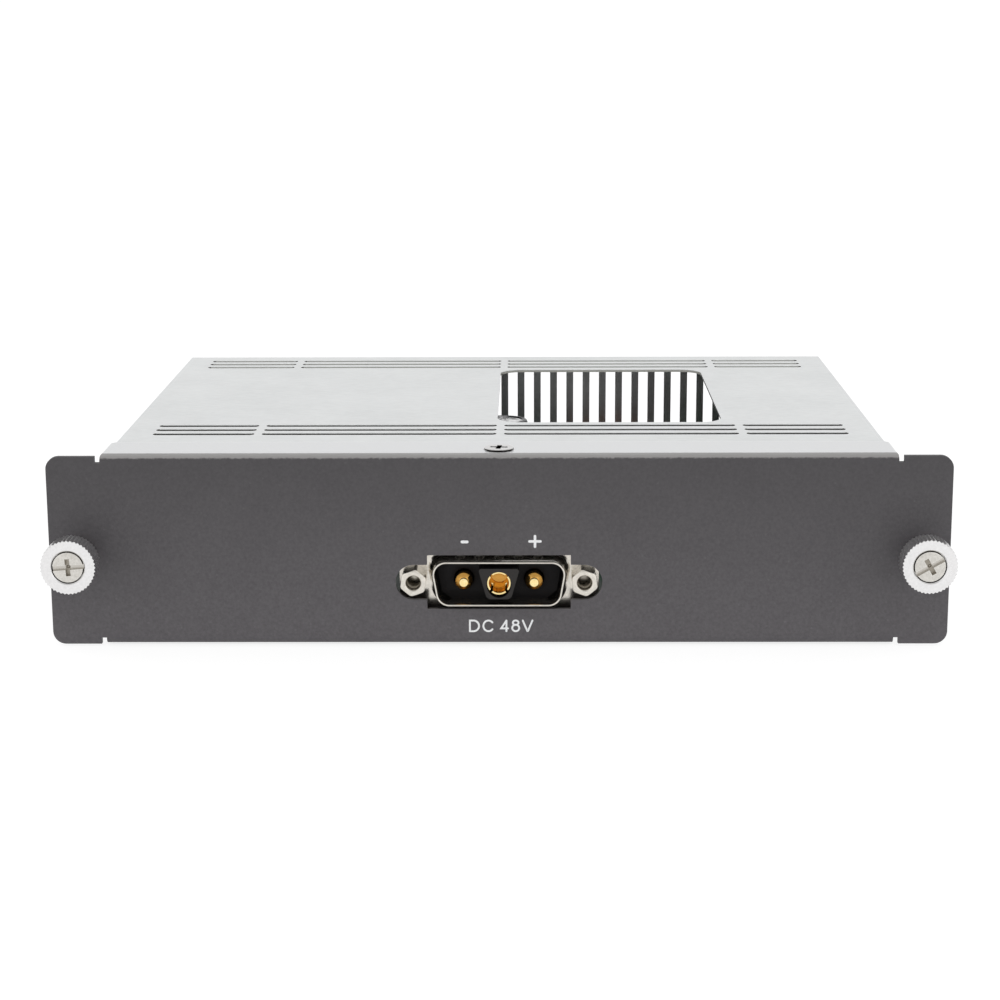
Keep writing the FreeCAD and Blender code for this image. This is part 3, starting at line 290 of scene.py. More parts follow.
def maker_tree(name, **inputs):
    """A geometry tree with inputs of named kinds; returns it with their sockets."""
    tree = bpy.data.node_groups.new(name, "GeometryNodeTree")
    tree.interface.new_socket("Geometry", in_out="OUTPUT", socket_type="NodeSocketGeometry")
    for kind, labels in inputs.items():
        for label in labels:
            tree.interface.new_socket(label, in_out="INPUT", socket_type="NodeSocket" + kind)
    return tree, tree.nodes.new("NodeGroupInput").outputs


def made_real(tree, geometry):
    return first(tree, "GeometryNodeRealizeInstances", {"Geometry": geometry})


def coated(tree, geometry, material, **where):
    sources = {"Geometry": geometry, "Material": material, **where}
    return first(tree, "GeometryNodeSetMaterial", sources)


def close_tree(tree, result, material, edge=None, cut=None):
    """Ends a tree in real geometry with its material, and with another on its cut edges."""
    result = coated(tree, made_real(tree, result), material)
    if edge is not None:
        result = coated(tree, result, edge, Selection=cut)
    tree.links.new(result, tree.nodes.new("NodeGroupOutput").inputs[0])


def grown(tree, sizes, points=()):
    """Runs a geometry tree once, on points where it needs them, and keeps the mesh it makes."""
    seed = bpy.data.meshes.new("points")
    seed.from_pydata([Vector(p) for p in points], [], [])
    holder = placed("holder", seed)
    step = holder.modifiers.new("make", "NODES")
    step.node_group = tree
    patterns = []
    for socket in tree.interface.items_tree:
        if socket.in_out == "INPUT" and socket.name in sizes:
            size = sizes[socket.name]
            if isinstance(size, bpy.types.Mesh):
                size = placed("pattern", size)
                patterns.append(size)
            step[socket.identifier] = size
    made = as_plain_mesh(holder)
    for pattern in patterns:
        bpy.data.objects.remove(pattern)
    return made


def xyz(tree, **axes):
    return first(tree, "ShaderNodeCombineXYZ", axes)


def shape_of(tree, source):
    return node(tree, "GeometryNodeObjectInfo", {"Object": source}).outputs["Geometry"]


def copied(tree, points, shape, turn=None):
    """Copies of a shape on points, turned where a turn is given."""
    sources = {"Points": points, "Instance": shape}
    if turn is not None:
        sources["Rotation"] = turn
    return first(tree, "GeometryNodeInstanceOnPoints", sources)


# Copies of one screw on points, lying one way, each turned on its own axis by chance.
screw_tree, wants = maker_tree(
    "screws_on_points",
    Geometry=["Points"], Object=["Screw"], Vector=["Lie"], Int=["Seed"], Material=["Material"],
)
spots = first(screw_tree, "GeometryNodeMeshToPoints", {"Mesh": wants["Points"]})
full_turn = {3: 2 * pi, "Seed": wants["Seed"]}
chance = node(screw_tree, "FunctionNodeRandomValue", full_turn).outputs[1]
spun = first(screw_tree, "FunctionNodeEulerToRotation", {0: xyz(screw_tree, Z=chance)})
lie = first(screw_tree, "FunctionNodeEulerToRotation", {0: wants["Lie"]})
turned = first(
    screw_tree, "FunctionNodeRotateRotation", {0: lie, 1: spun}, rotation_space="LOCAL"
)
copies = copied(screw_tree, spots, shape_of(screw_tree, wants["Screw"]), turned)
close_tree(screw_tree, copies, wants["Material"])


def crossed(long, wide, low, high):
    """Two bars that cross, of a half length and a half width, between two heights."""
    return block(-long, long, -wide, wide, low, high), block(-wide, wide, -long, long, low, high)


def cross_recess(head, width, length, depth):
    """Cutters of a cross recess in a head whose face lies at a height."""
    shoulder = head - depth * 0.6
    pit = [(0, head - 1.5 * depth), (width * 0.75, shoulder), (0, shoulder)]
    bars = crossed(length / 2, width / 2, head - depth, head + 1)
    return *bars, lathe("pit", pit, 12)


def screws(name, mesh, points, lie, seed, steel, stands_for=()):
    """Sets copies of one screw on points."""
    sizes = {"Screw": mesh, "Lie": lie, "Seed": seed, "Material": steel}
    piece(name, grown(screw_tree, sizes, points), stands_for=stands_for)


screw_steel = metal(
    "screw_steel", (188, 186, 182), (222, 220, 216), (0.18, 0.34), 2600.0, relief=0.08
)
rub_and_highlight_edges(screw_steel, (240, 238, 234), 0.0001)
post_zinc = metal("post_zinc", (182, 184, 186), (206, 208, 210), (0.3, 0.45), 1800.0)
rub_and_highlight_edges(post_zinc, (228, 228, 230))
dress("board_standoffs", post_zinc)
board_top = 6.1
pan_profile = [(0, 0), (2.6, 0), (2.75, 0.25), (2.7, 0.8), (2.35, 1.3), (1.6, 1.65), (0, 1.8)]
pan_screw = carve(lathe("pan_screw", pan_profile), *cross_recess(1.8, 0.55, 2.9, 1.0))
board_corners = [(x, y, board_top) for x in (-65.4, 65.4) for y in (-46.8, 56.0)]
screws("board_screws", pan_screw, board_corners, (0, 0, 0), 3, screw_steel)


# Circuit board: a glass-fibre sheet with green solder mask over copper tracks, with bright
# pads in rows. It lies on the stand-offs.
def maths(tree, way, *values):
    return first(tree, "ShaderNodeMath", dict(enumerate(values)), operation=way)


board_green = surface("solder_mask", (16, 58, 40), (24, 74, 50), (0.28, 0.4), 2200.0)
tree = board_green.node_tree
where = own_place(tree)
track_pattern = {
    "Vector": where,
    "Color1": (0, 0, 0, 1),
    "Color2": (0, 0, 0, 1),
    "Mortar": (1, 1, 1, 1),
    "Scale": 60.0,
    "Mortar Size": 0.013,
    "Brick Width": 2.3,
    "Row Height": 0.085,
}
tracks = first(tree, "ShaderNodeTexBrick", track_pattern)
zones = first(tree, "ShaderNodeTexNoise", {"Vector": where, "Scale": 48.0, "Detail": 0.0})
lines = maths(tree, "MULTIPLY", tracks, ramp(tree, zones, 0.48, 0.5))
blend_colour(board_green, lines, (50, 110, 70))
pad_pattern = {"Vector": where, "Scale": 300.0, "Randomness": 0.1}
pads = first(tree, "ShaderNodeTexVoronoi", pad_pattern, voronoi_dimensions="2D")
rows = maths(tree, "MULTIPLY", ramp(tree, pads, 0.22, 0.18), ramp(tree, zones, 0.4, 0.39))
blend_colour(board_green, rows, (196, 190, 172))
dress("circuit_board", board_green)


# Input fuse: a square ceramic body with plated end caps, snapped into two spring clips.
# The clips are bent from tinned bronze strip and soldered to the board.
def softened(name, material, width, settle=None):
    """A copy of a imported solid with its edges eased, which stands for the solid."""
    shape = bmesh.new()
    shape.from_mesh(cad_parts[name].data)
    bmesh.ops.scale(shape, vec=(1000, 1000, 1000), verts=shape.verts)
    bmesh.ops.remove_doubles(shape, verts=shape.verts, dist=1e-4)
    if settle:
        for point in shape.verts:
            settle(point.co)
    flat, corner = radians(1), radians(35)
    bmesh.ops.dissolve_limit(shape, angle_limit=flat, verts=shape.verts, edges=shape.edges)
    edges = [e for e in shape.edges if len(e.link_faces) == 2 and e.calc_face_angle(0) > corner]
    eased = {"offset": width, "segments": 2, "profile": 0.5, "clamp_overlap": True}
    bmesh.ops.bevel(shape, geom=edges, affect="EDGES", **eased)
    mesh = finished(shape, name + "_eased")
    for layer in [a.name for a in mesh.attributes if a.name == "custom_normal"]:
        mesh.attributes.remove(mesh.attributes[layer])
    piece(name + "_eased", mesh, stands_for=(name,), material=material)


ceramic = surface("fuse_ceramic", (214, 206, 190), (232, 226, 212), (0.35, 0.5), 1200.0)
tin = metal("tinned_metal", (178, 178, 176), (204, 204, 202), (0.28, 0.42), 1600.0)
rub_and_highlight_edges(tin, (226, 226, 224), 0.00015)
softened("fuse_body", ceramic, 0.25)
softened("fuse_caps", tin, 0.3)
softened("fuse_clips", tin, 0.1)


# Input filter choke: a closed ferrite frame whose two long legs carry a winding each of
# enamelled copper wire, laid turn by turn.
def rounded_frame(tree, across, along, corner, count):
    """A rectangle with rounded corners as a curve."""
    square = first(tree, "GeometryNodeCurvePrimitiveQuadrilateral", {0: across, 1: along})
    sources = {"Curve": square, "Count": count, "Radius": corner}
    return first(tree, "GeometryNodeFilletCurve", sources, mode="POLY")


def row_of(tree, count, step, start=(0, 0, 0)):
    """Points in a row."""
    sources = {"Count": count, "Offset": step, "Start Location": start}
    return first(tree, "GeometryNodeMeshLine", sources)


def wire_along(tree, path, radius, sides, capped=False):
    """Round wire that follows a curve."""
    section = {"Resolution": sides, "Radius": radius}
    end = first(tree, "GeometryNodeCurvePrimitiveCircle", section)
    sources = {"Curve": path, "Profile Curve": end, "Fill Caps": capped}
    return first(tree, "GeometryNodeCurveToMesh", sources)


winding_tree, wants = maker_tree(
    "winding",
    Float=["Across", "Along", "Corner", "Wire"], Int=["Turns"], Material=["Material"],
)
loop = rounded_frame(winding_tree, wants["Across"], wants["Along"], wants["Corner"], 5)
half = maths(winding_tree, "MULTIPLY", wants["Wire"], 0.5)
turn = wire_along(winding_tree, loop, half, 8)
layers = row_of(winding_tree, wants["Turns"], xyz(winding_tree, Z=wants["Wire"]))
stack = copied(winding_tree, layers, turn)
close_tree(winding_tree, stack, wants["Material"])


def joined(name, *meshes):
    """Several meshes as one, each with its own materials."""
    shape = bmesh.new()
    materials = []
    for mesh in meshes:
        before = len(shape.faces)
        shape.from_mesh(mesh)
        shape.faces.ensure_lookup_table()
        for face in shape.faces[before:]:
            own = mesh.materials[face.material_index] if mesh.materials else None
            if own not in materials:
                materials.append(own)
            face.material_index = materials.index(own)
    result = bpy.data.meshes.new(name)
    shape.to_mesh(result)
    shape.free()
    for material in materials:
        result.materials.append(material)
    return smooth(result)


def assembled(name, meshes, stands_for):
    piece(name, joined(name, *meshes), stands_for=(stands_for,))


def winding(across, along, corner, wire, turns, place):
    """Turns of copper wire, laid side by side, of a size over all."""
    sizes = {"Across": across - wire, "Along": along - wire, "Corner": corner}
    sizes.update({"Wire": wire, "Turns": turns, "Material": copper})
    made = grown(winding_tree, sizes)
    made.transform(place)
    return made


ferrite = surface("ferrite", (44, 43, 44), (62, 60, 61), (0.55, 0.75), 2400.0, relief=0.35)
rub_and_highlight_edges(ferrite, (86, 84, 84), 0.0003)
copper = metal("enamelled_copper", (116, 58, 28), (156, 86, 42), (0.2, 0.34), 700.0)
softened("filter_choke_core", ferrite, 0.4)
choke_turns = []
for y in (-43.5, -32.5):
    lie = at(38.8, y, 11.6) @ Matrix.Rotation(pi / 2, 4, "Y")
    choke_turns.append(winding(10.9, 8.9, 1.2, 1.2, 13, lie))
assembled("filter_windings", choke_turns, "filter_choke_coils")


# Input capacitors: two aluminium cans in a dark shrunk sleeve that leaves the scored top bare,
# standing on the board with a rolled groove near the foot. One shows at the window's edge.
def two_skins(mesh, main, other, is_other):
    """Gives a mesh two materials, the second where a rule on a face's middle says so."""
    mesh.materials.append(main)
    mesh.materials.append(other)
    for face in mesh.polygons:
        face.material_index = int(is_other(face.center))
    return mesh


def can(name, radius, height):
    """An upright can: sleeve, bare top with a score, on a foot at height nought."""
    lip = radius - 0.9
    groove = radius - 0.45
    wall = [(0, 0), (radius - 0.5, 0), (radius, 0.5), (radius, 1.6), (groove, 2.2), (groove, 2.6)]
    wall += [(radius, 3.2), (radius, height - 0.55), (radius - 0.2, height - 0.15)]
    wall += [(radius - 0.55, height), (lip, height - 0.05), (lip, height - 0.2)]
    wall += [(lip - 0.25, height - 0.3), (lip * 0.66, height - 0.16), (lip * 0.33, height - 0.07)]
    wall += [(0, height - 0.04)]
    score = crossed(lip * 0.75, 0.12, height - 0.55, height + 1)

    def is_bare(p):
        return p.z > height - 0.7 and p.xy.length < lip + 0.03

    return two_skins(carve(lathe(name, wall, 64), *score), sleeve_black, can_top_painted_reflections, is_bare)


def cans(name, radius, height, centres, stands_for):
    """Cans of one size, standing on the board."""
    one = can(name, radius, height)
    stood = []
    for x, y in centres:
        stood.append(one.copy())
        stood[-1].transform(at(x, y, board_top))
    assembled(name, stood, stands_for)


sleeve_black = surface(
    "shrunk_sleeve", (30, 29, 32), (40, 39, 43), (0.25, 0.38), 900.0, relief=0.1
)
# Painted reflections: broad dark and bright streaks in the bare tops' colour stand for the
# mirror-like top's reflections.
can_top_painted_reflections = metal(
    "can_aluminium", (72, 70, 71), (238, 238, 239), (0.06, 0.14), 420.0, (1, 0.5, 1), 0.06
)
cans("input_cans", 5.0, 25.4, [(0.6, 11.6), (-11.9, 11.6)], "input_capacitors")


# Switching stage: four flat power transistors pressed against an extruded aluminium heat sink
# by one spring-steel clamp. Their tinned leads stand in the board.
def own_axes(tree):
    return node(tree, "ShaderNodeSeparateXYZ", {0: own_place(tree)}).outputs


def shade_along(material, axis, start, end, over, most=1.0):
    """Brings in a second colour from one place on an axis to another; returns its mask."""
    tree = material.node_tree
    mask = ramp(tree, own_axes(tree)[axis], start / 1000, end / 1000, Max=most)
    blend_colour(material, mask, over)
    return mask


sink = metal(
    "extruded_aluminium", (150, 152, 156), (182, 184, 188), (0.32, 0.5), 1400.0, (1, 0.05, 1)
)
rub_and_highlight_edges(sink, (206, 208, 212))
dress("heat_sink", sink)
epoxy = surface("moulded_epoxy", (26, 25, 27), (38, 37, 39), (0.5, 0.68), 3000.0, relief=0.3)
lead_top, tab_foot = 9.1, 18.1
shade_along(epoxy, "Z", lead_top + 0.02, lead_top - 0.02, (186, 186, 184))
shade_along(epoxy, "Z", tab_foot - 0.02, tab_foot + 0.02, (190, 190, 190))
dress("power_transistors", epoxy)
clamp_steel = metal(
    "spring_strip", (150, 152, 156), (186, 188, 190), (0.22, 0.36), 1200.0, (1, 0.1, 1)
)
rub_and_highlight_edges(clamp_steel, (214, 214, 216))
softened("transistor_clamp", clamp_steel, 0.12)


# Transformer: a ferrite core of two halves round a winding of thick enamelled wire, laid over a
# moulded bobbin.
moulding = surface(
    "black_moulding", (24, 23, 25), (34, 33, 35), (0.42, 0.58), 2600.0, relief=0.25
)
softened("transformer_core", ferrite, 0.35)
bobbin = carve(block(17.1, 34.9, 23.9, 44.1, 9.1, 16.1), block(21.9, 30.1, 27.9, 40.1, 8, 17))
bobbin.materials.append(moulding)
coil = winding(19.6, 22.0, 2.2, 0.87, 8, at(26.0, 34.0, 9.55))
assembled("transformer_winding", [bobbin, coil], "transformer_coil")


# Output stage: a shielded choke, a square ferrite block with cut corners, and two smaller
# capacitors of the same make as the input ones.
softened("output_choke", ferrite, 0.4)
cans("output_cans", 4.0, 15.0, [(-4.5, 47.0), (-14.5, 47.0)], "output_capacitors")


# Control chips: three flat packages moulded in black epoxy round their chips. They drive and
# regulate the switching stage, and are soldered to the board.
chip_black = surface(
    "chip_epoxy", (28, 27, 29), (40, 39, 41), (0.55, 0.7), 3400.0, relief=0.3
)
softened("control_chips", chip_black, 0.2)


# Output plug: a moulded housing that stands through the rear wall, with six tinned blades in its
# slots. It takes the module's current into the chassis.
softened("output_plug", moulding, 0.3)
dress("output_blades", tin)


# Inlet brackets, insulator and contacts: two tinned angles stand the inlet on the board; the black
# moulding holds two gold-plated pins in wells and a slit gold socket in its raised block.
inlet_axis = 12.43
to_front = Matrix.Rotation(pi / 2, 4, "X")
softened("inlet_brackets", tin, 0.1)
# Painted light and shade: the moulding is near black as painted shade inside the shell, and the
# raised block's front face is painted a lit grey.
inlet_black_lit_and_shaded = surface("inlet_moulding_lit_and_shaded", (9, 7, 10), (13, 11, 14), (0.5, 0.62), 3200.0)
shader = inlet_black_lit_and_shaded.node_tree.nodes["Principled BSDF"].inputs
shader["Specular IOR Level"].default_value = 0.2
shade_along(inlet_black_lit_and_shaded, "Y", -58.75, -58.85, (52, 50, 49))


def raised_block(point):
    """Draws the raised block out to its sharp top corners and a little down, off the socket."""
    if point.y < -57.0:
        above = point.z - inlet_axis
        if point.z > 15.0 and abs(point.x) > 3.0:
            point.x *= 1.03
        if hypot(point.x, above) < 2.6 and above < 0:
            point.z += above * 0.15
        point.z -= 0.16


softened("inlet_insulator", inlet_black_lit_and_shaded, 0.08, settle=raised_block)

# Rings that a lathe tool leaves round an axis that runs from front to rear.
lathe_group, asked, given = shader_group(
    "lathe_marks",
    [("Centre", "NodeSocketVector", (0, 0, 0)), ("Pitch", "NodeSocketFloat", 0.0001)],
    ["Height"],
)
away = vectors(lathe_group, "SUBTRACT", own_place(lathe_group), asked["Centre"])[0]
flat = vectors(lathe_group, "MULTIPLY", away, (1, 0, 1))[0]
far = vectors(lathe_group, "LENGTH", flat)["Value"]
cuts = {"W": maths(lathe_group, "DIVIDE", far, asked["Pitch"]), "Scale": 1.0, "Detail": 2.0}
uneven = first(lathe_group, "ShaderNodeTexNoise", cuts, noise_dimensions="1D")
lathe_group.links.new(uneven, given["Height"])


def turn_marks(material, across, up, pitch, strength):
    """Adds the lathe's rings to a material's relief."""
    tree = material.node_tree
    asked = {"Centre": (across / 1000, 0, up / 1000), "Pitch": pitch}
    marks = first(tree, "ShaderNodeGroup", asked, node_tree=lathe_group)
    normal = tree.nodes["Principled BSDF"].inputs["Normal"]
    sources = {"Height": marks, "Normal": normal.links[0].from_socket}
    sources.update({"Strength": strength, "Distance": 0.00002})
    tree.links.new(first(tree, "ShaderNodeBump", sources), normal)


def gold_plate(name):
    return metal(name, (246, 218, 150), (253, 234, 178), (0.1, 0.18), 2000.0, relief=0.04)


pin_profile = [(0, 50.9), (1.7, 50.9), (1.72, 51.0), (1.72, 57.0), (1.69, 57.1), (1.62, 57.18)]
pin_profile += [(0.86, 57.72), (0.86, 58.27), (0.82, 58.36), (0.72, 58.4), (0, 58.4)]
for place, across in (("negative_pin", -6.86), ("positive_pin", 6.86)):
    pin_gold_shaded_deep = gold_plate(place + "_gold")
    # Painted shade: each pin is painted a darker gold from its shoulder back into its well.
    shade_along(pin_gold_shaded_deep, "Y", -58.3, -57.9, (214, 166, 88))
    turn_marks(pin_gold_shaded_deep, across, inlet_axis, 0.00022, 0.5)
    pin = lathe(place, pin_profile)
    pin.transform(at(across, 0, inlet_axis) @ to_front)
    sides = across - 0.75, across + 0.75
    shank = block(*sides, -51.0, -40.5, 11.68, 13.18)
    foot = block(*sides, -42.0, -40.5, board_top, 11.7)
    whole = joined(place, pin, shank, foot)
    piece(place + "_turned", whole, stands_for=(place,), material=pin_gold_shaded_deep)
ring_gold = gold_plate("ring_gold")
# Painted light and shade: the socket is painted paler inside its mouth, where little light
# reaches, and darker gold at the floor of its bore.
shade_along(ring_gold, "Y", -58.78, -58.6, (252, 232, 182))
shade_along(ring_gold, "Y", -51.6, -51.0, (200, 146, 70))


def thin_mouth(point):
    """Opens the socket's mouth to the thin wall of its sprung fingers."""
    above = point.z - inlet_axis
    if point.y < -58.0 and hypot(point.x, above) < 2.0:
        point.x *= 1.06
        point.z = inlet_axis + above * 1.06


softened("ring_contact", ring_gold, 0.05, settle=thin_mouth)


# Inlet shell: a D-shaped collar drawn out of nickel-plated steel sheet, with its flange and five
# pressed dimples along the top that grip the plug.
shell_wide, shell_tall, shell_round = 26.85, 8.92, 2.65
slant = radians(10)
dimple_pitch, dimple_wide, dimple_long, dimple_middle = 3.82, 0.8, 1.2, -55.75


def from_dimple(x, y):
    """How far a point lies from the nearest dimple's middle, squared, with its rim at one."""
    across = min((x - dimple_pitch * n) ** 2 / dimple_wide**2 for n in range(-2, 3))
    return across + (y - dimple_middle) ** 2 / dimple_long**2


def arc(x, z, wide, tall, start, end, steps=28):
    """Points along an ellipse from one angle to another."""
    turns = [radians(start + (end - start) * k / steps) for k in range(steps + 1)]
    return [(x + wide * cos(t), z + tall * sin(t)) for t in turns]


def d_ring(inset, reach, dimpled=False):
    """Points round the D-shaped outline, drawn in by an inset, at a depth."""
    points = []
    r = shell_round
    lean = tan(slant)
    top = shell_wide / 2 - r * lean - r / cos(slant)
    low = shell_wide / 2 - (shell_tall - r) * lean - r / cos(slant)
    half_up = shell_tall / 2 - r
    corners = [(top, half_up, -10, 90), (-top, half_up, 90, 190)]
    corners += [(-low, -half_up, 190, 270), (low, -half_up, 270, 350)]
    steps = 150
    for number, (x, z, start, end) in enumerate(corners):
        points += arc(x, z, r - inset, r - inset, start, end, 12)
        for k in range(1, steps if number == 0 else 1):
            x = top - 2 * top * k / steps
            z = half_up + r - inset
            if dimpled:
                far = from_dimple(x, reach)
                z -= 0.22 * max(0.0, 1 - far) ** 0.5
                z += 0.06 * exp(-(((far - 1.3) / 0.3) ** 2))
            points.append((x, z))
    return [(x, reach, z + inlet_axis) for x, z in points]


flange_face = -53.0
bend = [(0.9 * sin(a), 0.9 * (1 - cos(a))) for a in (0.3, 0.6, 0.9, 1.2)]
profile = [(-1.0, flange_face), (-1.0, -53.8)]
profile += [(-1.0 + inwards, -53.8 - ahead) for inwards, ahead in bend] + [(0.0, -54.75)]
profile += [(0.0, -54.8 - 0.06 * k) for k in range(36)]
profile += [(0.0, -58.0), (0.0, -59.45), (0.06, -59.62), (0.2, -59.7)]
profile += [(0.34, -59.62), (0.4, -59.45), (0.4, -58.0)]
profile += [(0.4, -56.9 + 0.06 * k) for k in range(36)]
profile += [(0.4, -54.0), (0.4, flange_face)]
rings = [d_ring(inset, reach, -57.0 < reach < -54.4) for inset, reach in profile]
collar = skinned("collar", rings, closed=True, angle=40)


def together(tree, *parts):
    """Several geometries as one."""
    both = node(tree, "GeometryNodeJoinGeometry")
    for part in parts:
        tree.links.new(part, both.inputs[0])
    return both.outputs[0]


def merged(tree, geometry):
    return first(tree, "GeometryNodeMergeByDistance", {"Geometry": geometry, "Distance": 0.001})


def thickened(tree, plate, sheet):
    """Gives a flat plate its sheet's thickness; returns it with the mask of its cut edges."""
    lift = {"Mesh": plate, "Offset": xyz(tree, Z=sheet), "Offset Scale": 1.0, "Individual": False}
    raised = node(tree, "GeometryNodeExtrudeMesh", lift).outputs
    under = first(tree, "GeometryNodeFlipFaces", {"Mesh": plate})
    return merged(tree, together(tree, raised[0], under)), raised["Side"]


flange_tree, wants = maker_tree(
    "pierced_plate", Object=["Outline", "Holes"], Float=["Sheet"], Material=["Material"]
)
rims = []
for label in ("Outline", "Holes"):
    rim = {"Mesh": shape_of(flange_tree, wants[label])}
    rims.append(first(flange_tree, "GeometryNodeMeshToCurve", rim))
rim_lines = {"Curve": together(flange_tree, *rims)}
plate = first(flange_tree, "GeometryNodeFillCurve", rim_lines, mode="TRIANGLES")
sheet = thickened(flange_tree, plate, wants["Sheet"])[0]
close_tree(flange_tree, sheet, wants["Material"])


def outlines(loops):
    """Closed outlines in a plane as edges of one mesh."""
    points = []
    edges = []
    for loop in loops:
        start = len(points)
        points += [(x, y, 0) for x, y in loop]
        edges += [(start + k, start + (k + 1) % len(loop)) for k in range(len(loop))]
    mesh = bpy.data.meshes.new("outlines")
    mesh.from_pydata(points, edges, [])
    return mesh


nickel = metal("nickel_plate", (204, 199, 190), (222, 217, 208), (0.14, 0.26), relief=0.05)
pressed = surface("pressed_nickel", (150, 145, 137), (176, 171, 163), (0.45, 0.6), metallic=0.2)
post_across = 16.66
flange_half, flange_low, flange_high, corner = 19.57, 5.6, 18.7, 1.2
right, low, high = flange_half - corner, flange_low + corner, flange_high - corner
rim = []
for x, z, start in ((right, low, -90), (right, high, 0), (-right, high, 90), (-right, low, 180)):
    rim += arc(x, z, corner, corner, start, start + 90, 8)
punched = [[(x, z) for x, y, z in d_ring(-1.0, 0.0)]]
for x in (-post_across, post_across):
    punched.append(arc(x, inlet_axis, 1.2, 1.2, 0, 360, 32)[:-1])
sizes = {"Outline": outlines([rim]), "Holes": outlines(punched), "Sheet": 0.8, "Material": nickel}
flange = grown(flange_tree, sizes)
flange.transform(at(0, flange_face, 0) @ to_front)
two_skins(
    collar, nickel, pressed, lambda p: 0.8 < from_dimple(p.x, p.y) < 1.6 and p.z > inlet_axis + 4
)
assembled("inlet_collar", [collar, flange], "inlet_shell")


# Jack screws: two hexagon posts of nickel-plated steel with a tapped hole, turned with a chamfer
# on the face. They clamp the inlet's flange and take the plug's screws.
def jack_post(turn):
    """A post from the bottom of its tapped hole, round its face and flats, to its stem's end."""
    rings = []
    inner, outer, steps = 4.75 / 2, 2.64, 72
    bore = [(0, -54.2), (1.3, -54.0)]
    for k in range(7):
        bore += [(1.42, -54.2 - 0.4 * k), (1.22, -54.4 - 0.4 * k)]
    bore += [(1.42, -57.0), (1.42, -58.62), (1.48, -58.72), (1.66, -58.88)]
    bore += [(1.72, -58.9), (inner - 0.16, -58.9), (inner - 0.06, -58.88)]
    hexagon = [(0.0, -58.82), (0.0, -53.86), (-0.06, -53.8)]
    stem = [(1.1, -53.8), (1.1, -50.9), (1.0, -50.8), (0, -50.8)]
    sections = [(False, *point) for point in bore]
    sections += [(True, *point) for point in hexagon] + [(False, *point) for point in stem]
    for has_flats, size, y in sections:
        ring = []
        for k in range(steps if has_flats or size else 1):
            a = 2 * pi * k / steps
            radius = size
            ahead = y
            if has_flats:
                flat = (a + pi / 6) % (pi / 3) - pi / 6
                radius = min(inner / cos(flat), outer) + size
                if y < -58.0:
                    ahead = y + (radius - inner) * 0.75
            spin = a + pi / 2 + radians(turn)
            ring.append((radius * cos(spin), ahead, radius * sin(spin)))
        rings.append(ring)
    return skinned("post", rings, angle=22)


# Painted shade: the faces inside the tapped holes are a darker nickel.
tapped = metal("tapped_hole", (172, 167, 158), (192, 187, 178), (0.2, 0.34))
posts = []
for x, turn in ((-post_across, -40), (post_across, 39)):
    post = jack_post(turn)
    two_skins(post, nickel, tapped, lambda p: hypot(p.x, p.z) < 1.46 and p.y > -58.7)
    post.transform(at(x, 0, inlet_axis))
    posts.append(post)
assembled("jack_posts", posts, "jack_screws")


# Cover: a zinc-plated steel channel over the case, punched with rows of round-ended vent slots and
# one large window. Its sides reach down over the tray and are held by pan-head screws.
window_middle, window_reach = 14.85, 34.5
cut_edge = surface(
    "sheared_edge_lit_and_shaded", (232, 234, 234), (244, 246, 246), (0.5, 0.65), 1400.0, (1, 1, 0.2)
)
# Painted shade: below the bright top of each cut wall, the wall is painted dark where the slot
# lies in shade.
slot_wall_shade = shade_along(cut_edge, "Z", 36.37, 36.33, (36, 32, 28))
tree = cut_edge.node_tree
depth = own_axes(tree)["Y"]
# Painted light: on the rear rows and the window's rear wall that dark band is painted lighter.
lit = maths(tree, "MULTIPLY", slot_wall_shade, ramp(tree, depth, 0.04, 0.046))
blend_colour(cut_edge, lit, (188, 188, 181))
# Painted shade: the round ends of the vent slots are painted dark.
facing = node(tree, "ShaderNodeNewGeometry").outputs["Normal"]
sideways = node(tree, "ShaderNodeSeparateXYZ", {0: facing}).outputs["X"]
slot_end_shade = ramp(tree, maths(tree, "ABSOLUTE", sideways), 0.3, 0.6)
from_window = maths(tree, "ABSOLUTE", maths(tree, "SUBTRACT", depth, window_middle / 1000))
in_rows = maths(tree, "GREATER_THAN", from_window, window_reach / 1000)
blend_colour(cut_edge, maths(tree, "MULTIPLY", slot_end_shade, in_rows), (58, 54, 50))

cover_tree, size = maker_tree(
    "slotted_cover",
    Float=[
        "Width", "Depth", "Sheet", "Slot Width", "Long Slot", "Short Slot", "Web",
        "Row Pitch", "Front Rows", "Rear Rows", "Window Width", "Window Depth", "Window Corner",
    ],
    Int=["Rows"],
    Vector=["Window Middle", "Cover Middle"],
    Material=["Material", "Edge Material"],
)


def sum_of(tree, *terms):
    """Adds sockets or numbers, each with a factor, in a chain of Math nodes."""
    total = 0.0
    for source, factor in terms:
        total = maths(tree, "MULTIPLY_ADD", source, factor, total)
    return total


def shifted(tree, geometry, way):
    return first(tree, "GeometryNodeTransform", {"Geometry": geometry, "Translation": way})


slot_end = sum_of(cover_tree, (size["Slot Width"], 0.4995))
row_slots = []
for length, away in (
    ("Long Slot", [(size["Web"], 0.5), (size["Long Slot"], 0.5)]),
    ("Short Slot", [(size["Web"], 1.5), (size["Long Slot"], 1.0), (size["Short Slot"], 0.5)]),
):
    ended = rounded_frame(cover_tree, size[length], size["Slot Width"], slot_end, 8)
    for sign in (1.0, -1.0):
        aside = sum_of(cover_tree, *[(part, sign * share) for part, share in away])
        row_slots.append(shifted(cover_tree, ended, xyz(cover_tree, X=aside)))
row_points = []
for label in ("Front Rows", "Rear Rows"):
    step, start = (xyz(cover_tree, Y=size[name]) for name in ("Row Pitch", label))
    row_points.append(row_of(cover_tree, size["Rows"], step, start))
vents = copied(cover_tree, together(cover_tree, *row_points), together(cover_tree, *row_slots))
whole = {0: size["Width"], 1: size["Depth"]}
whole = first(cover_tree, "GeometryNodeCurvePrimitiveQuadrilateral", whole)
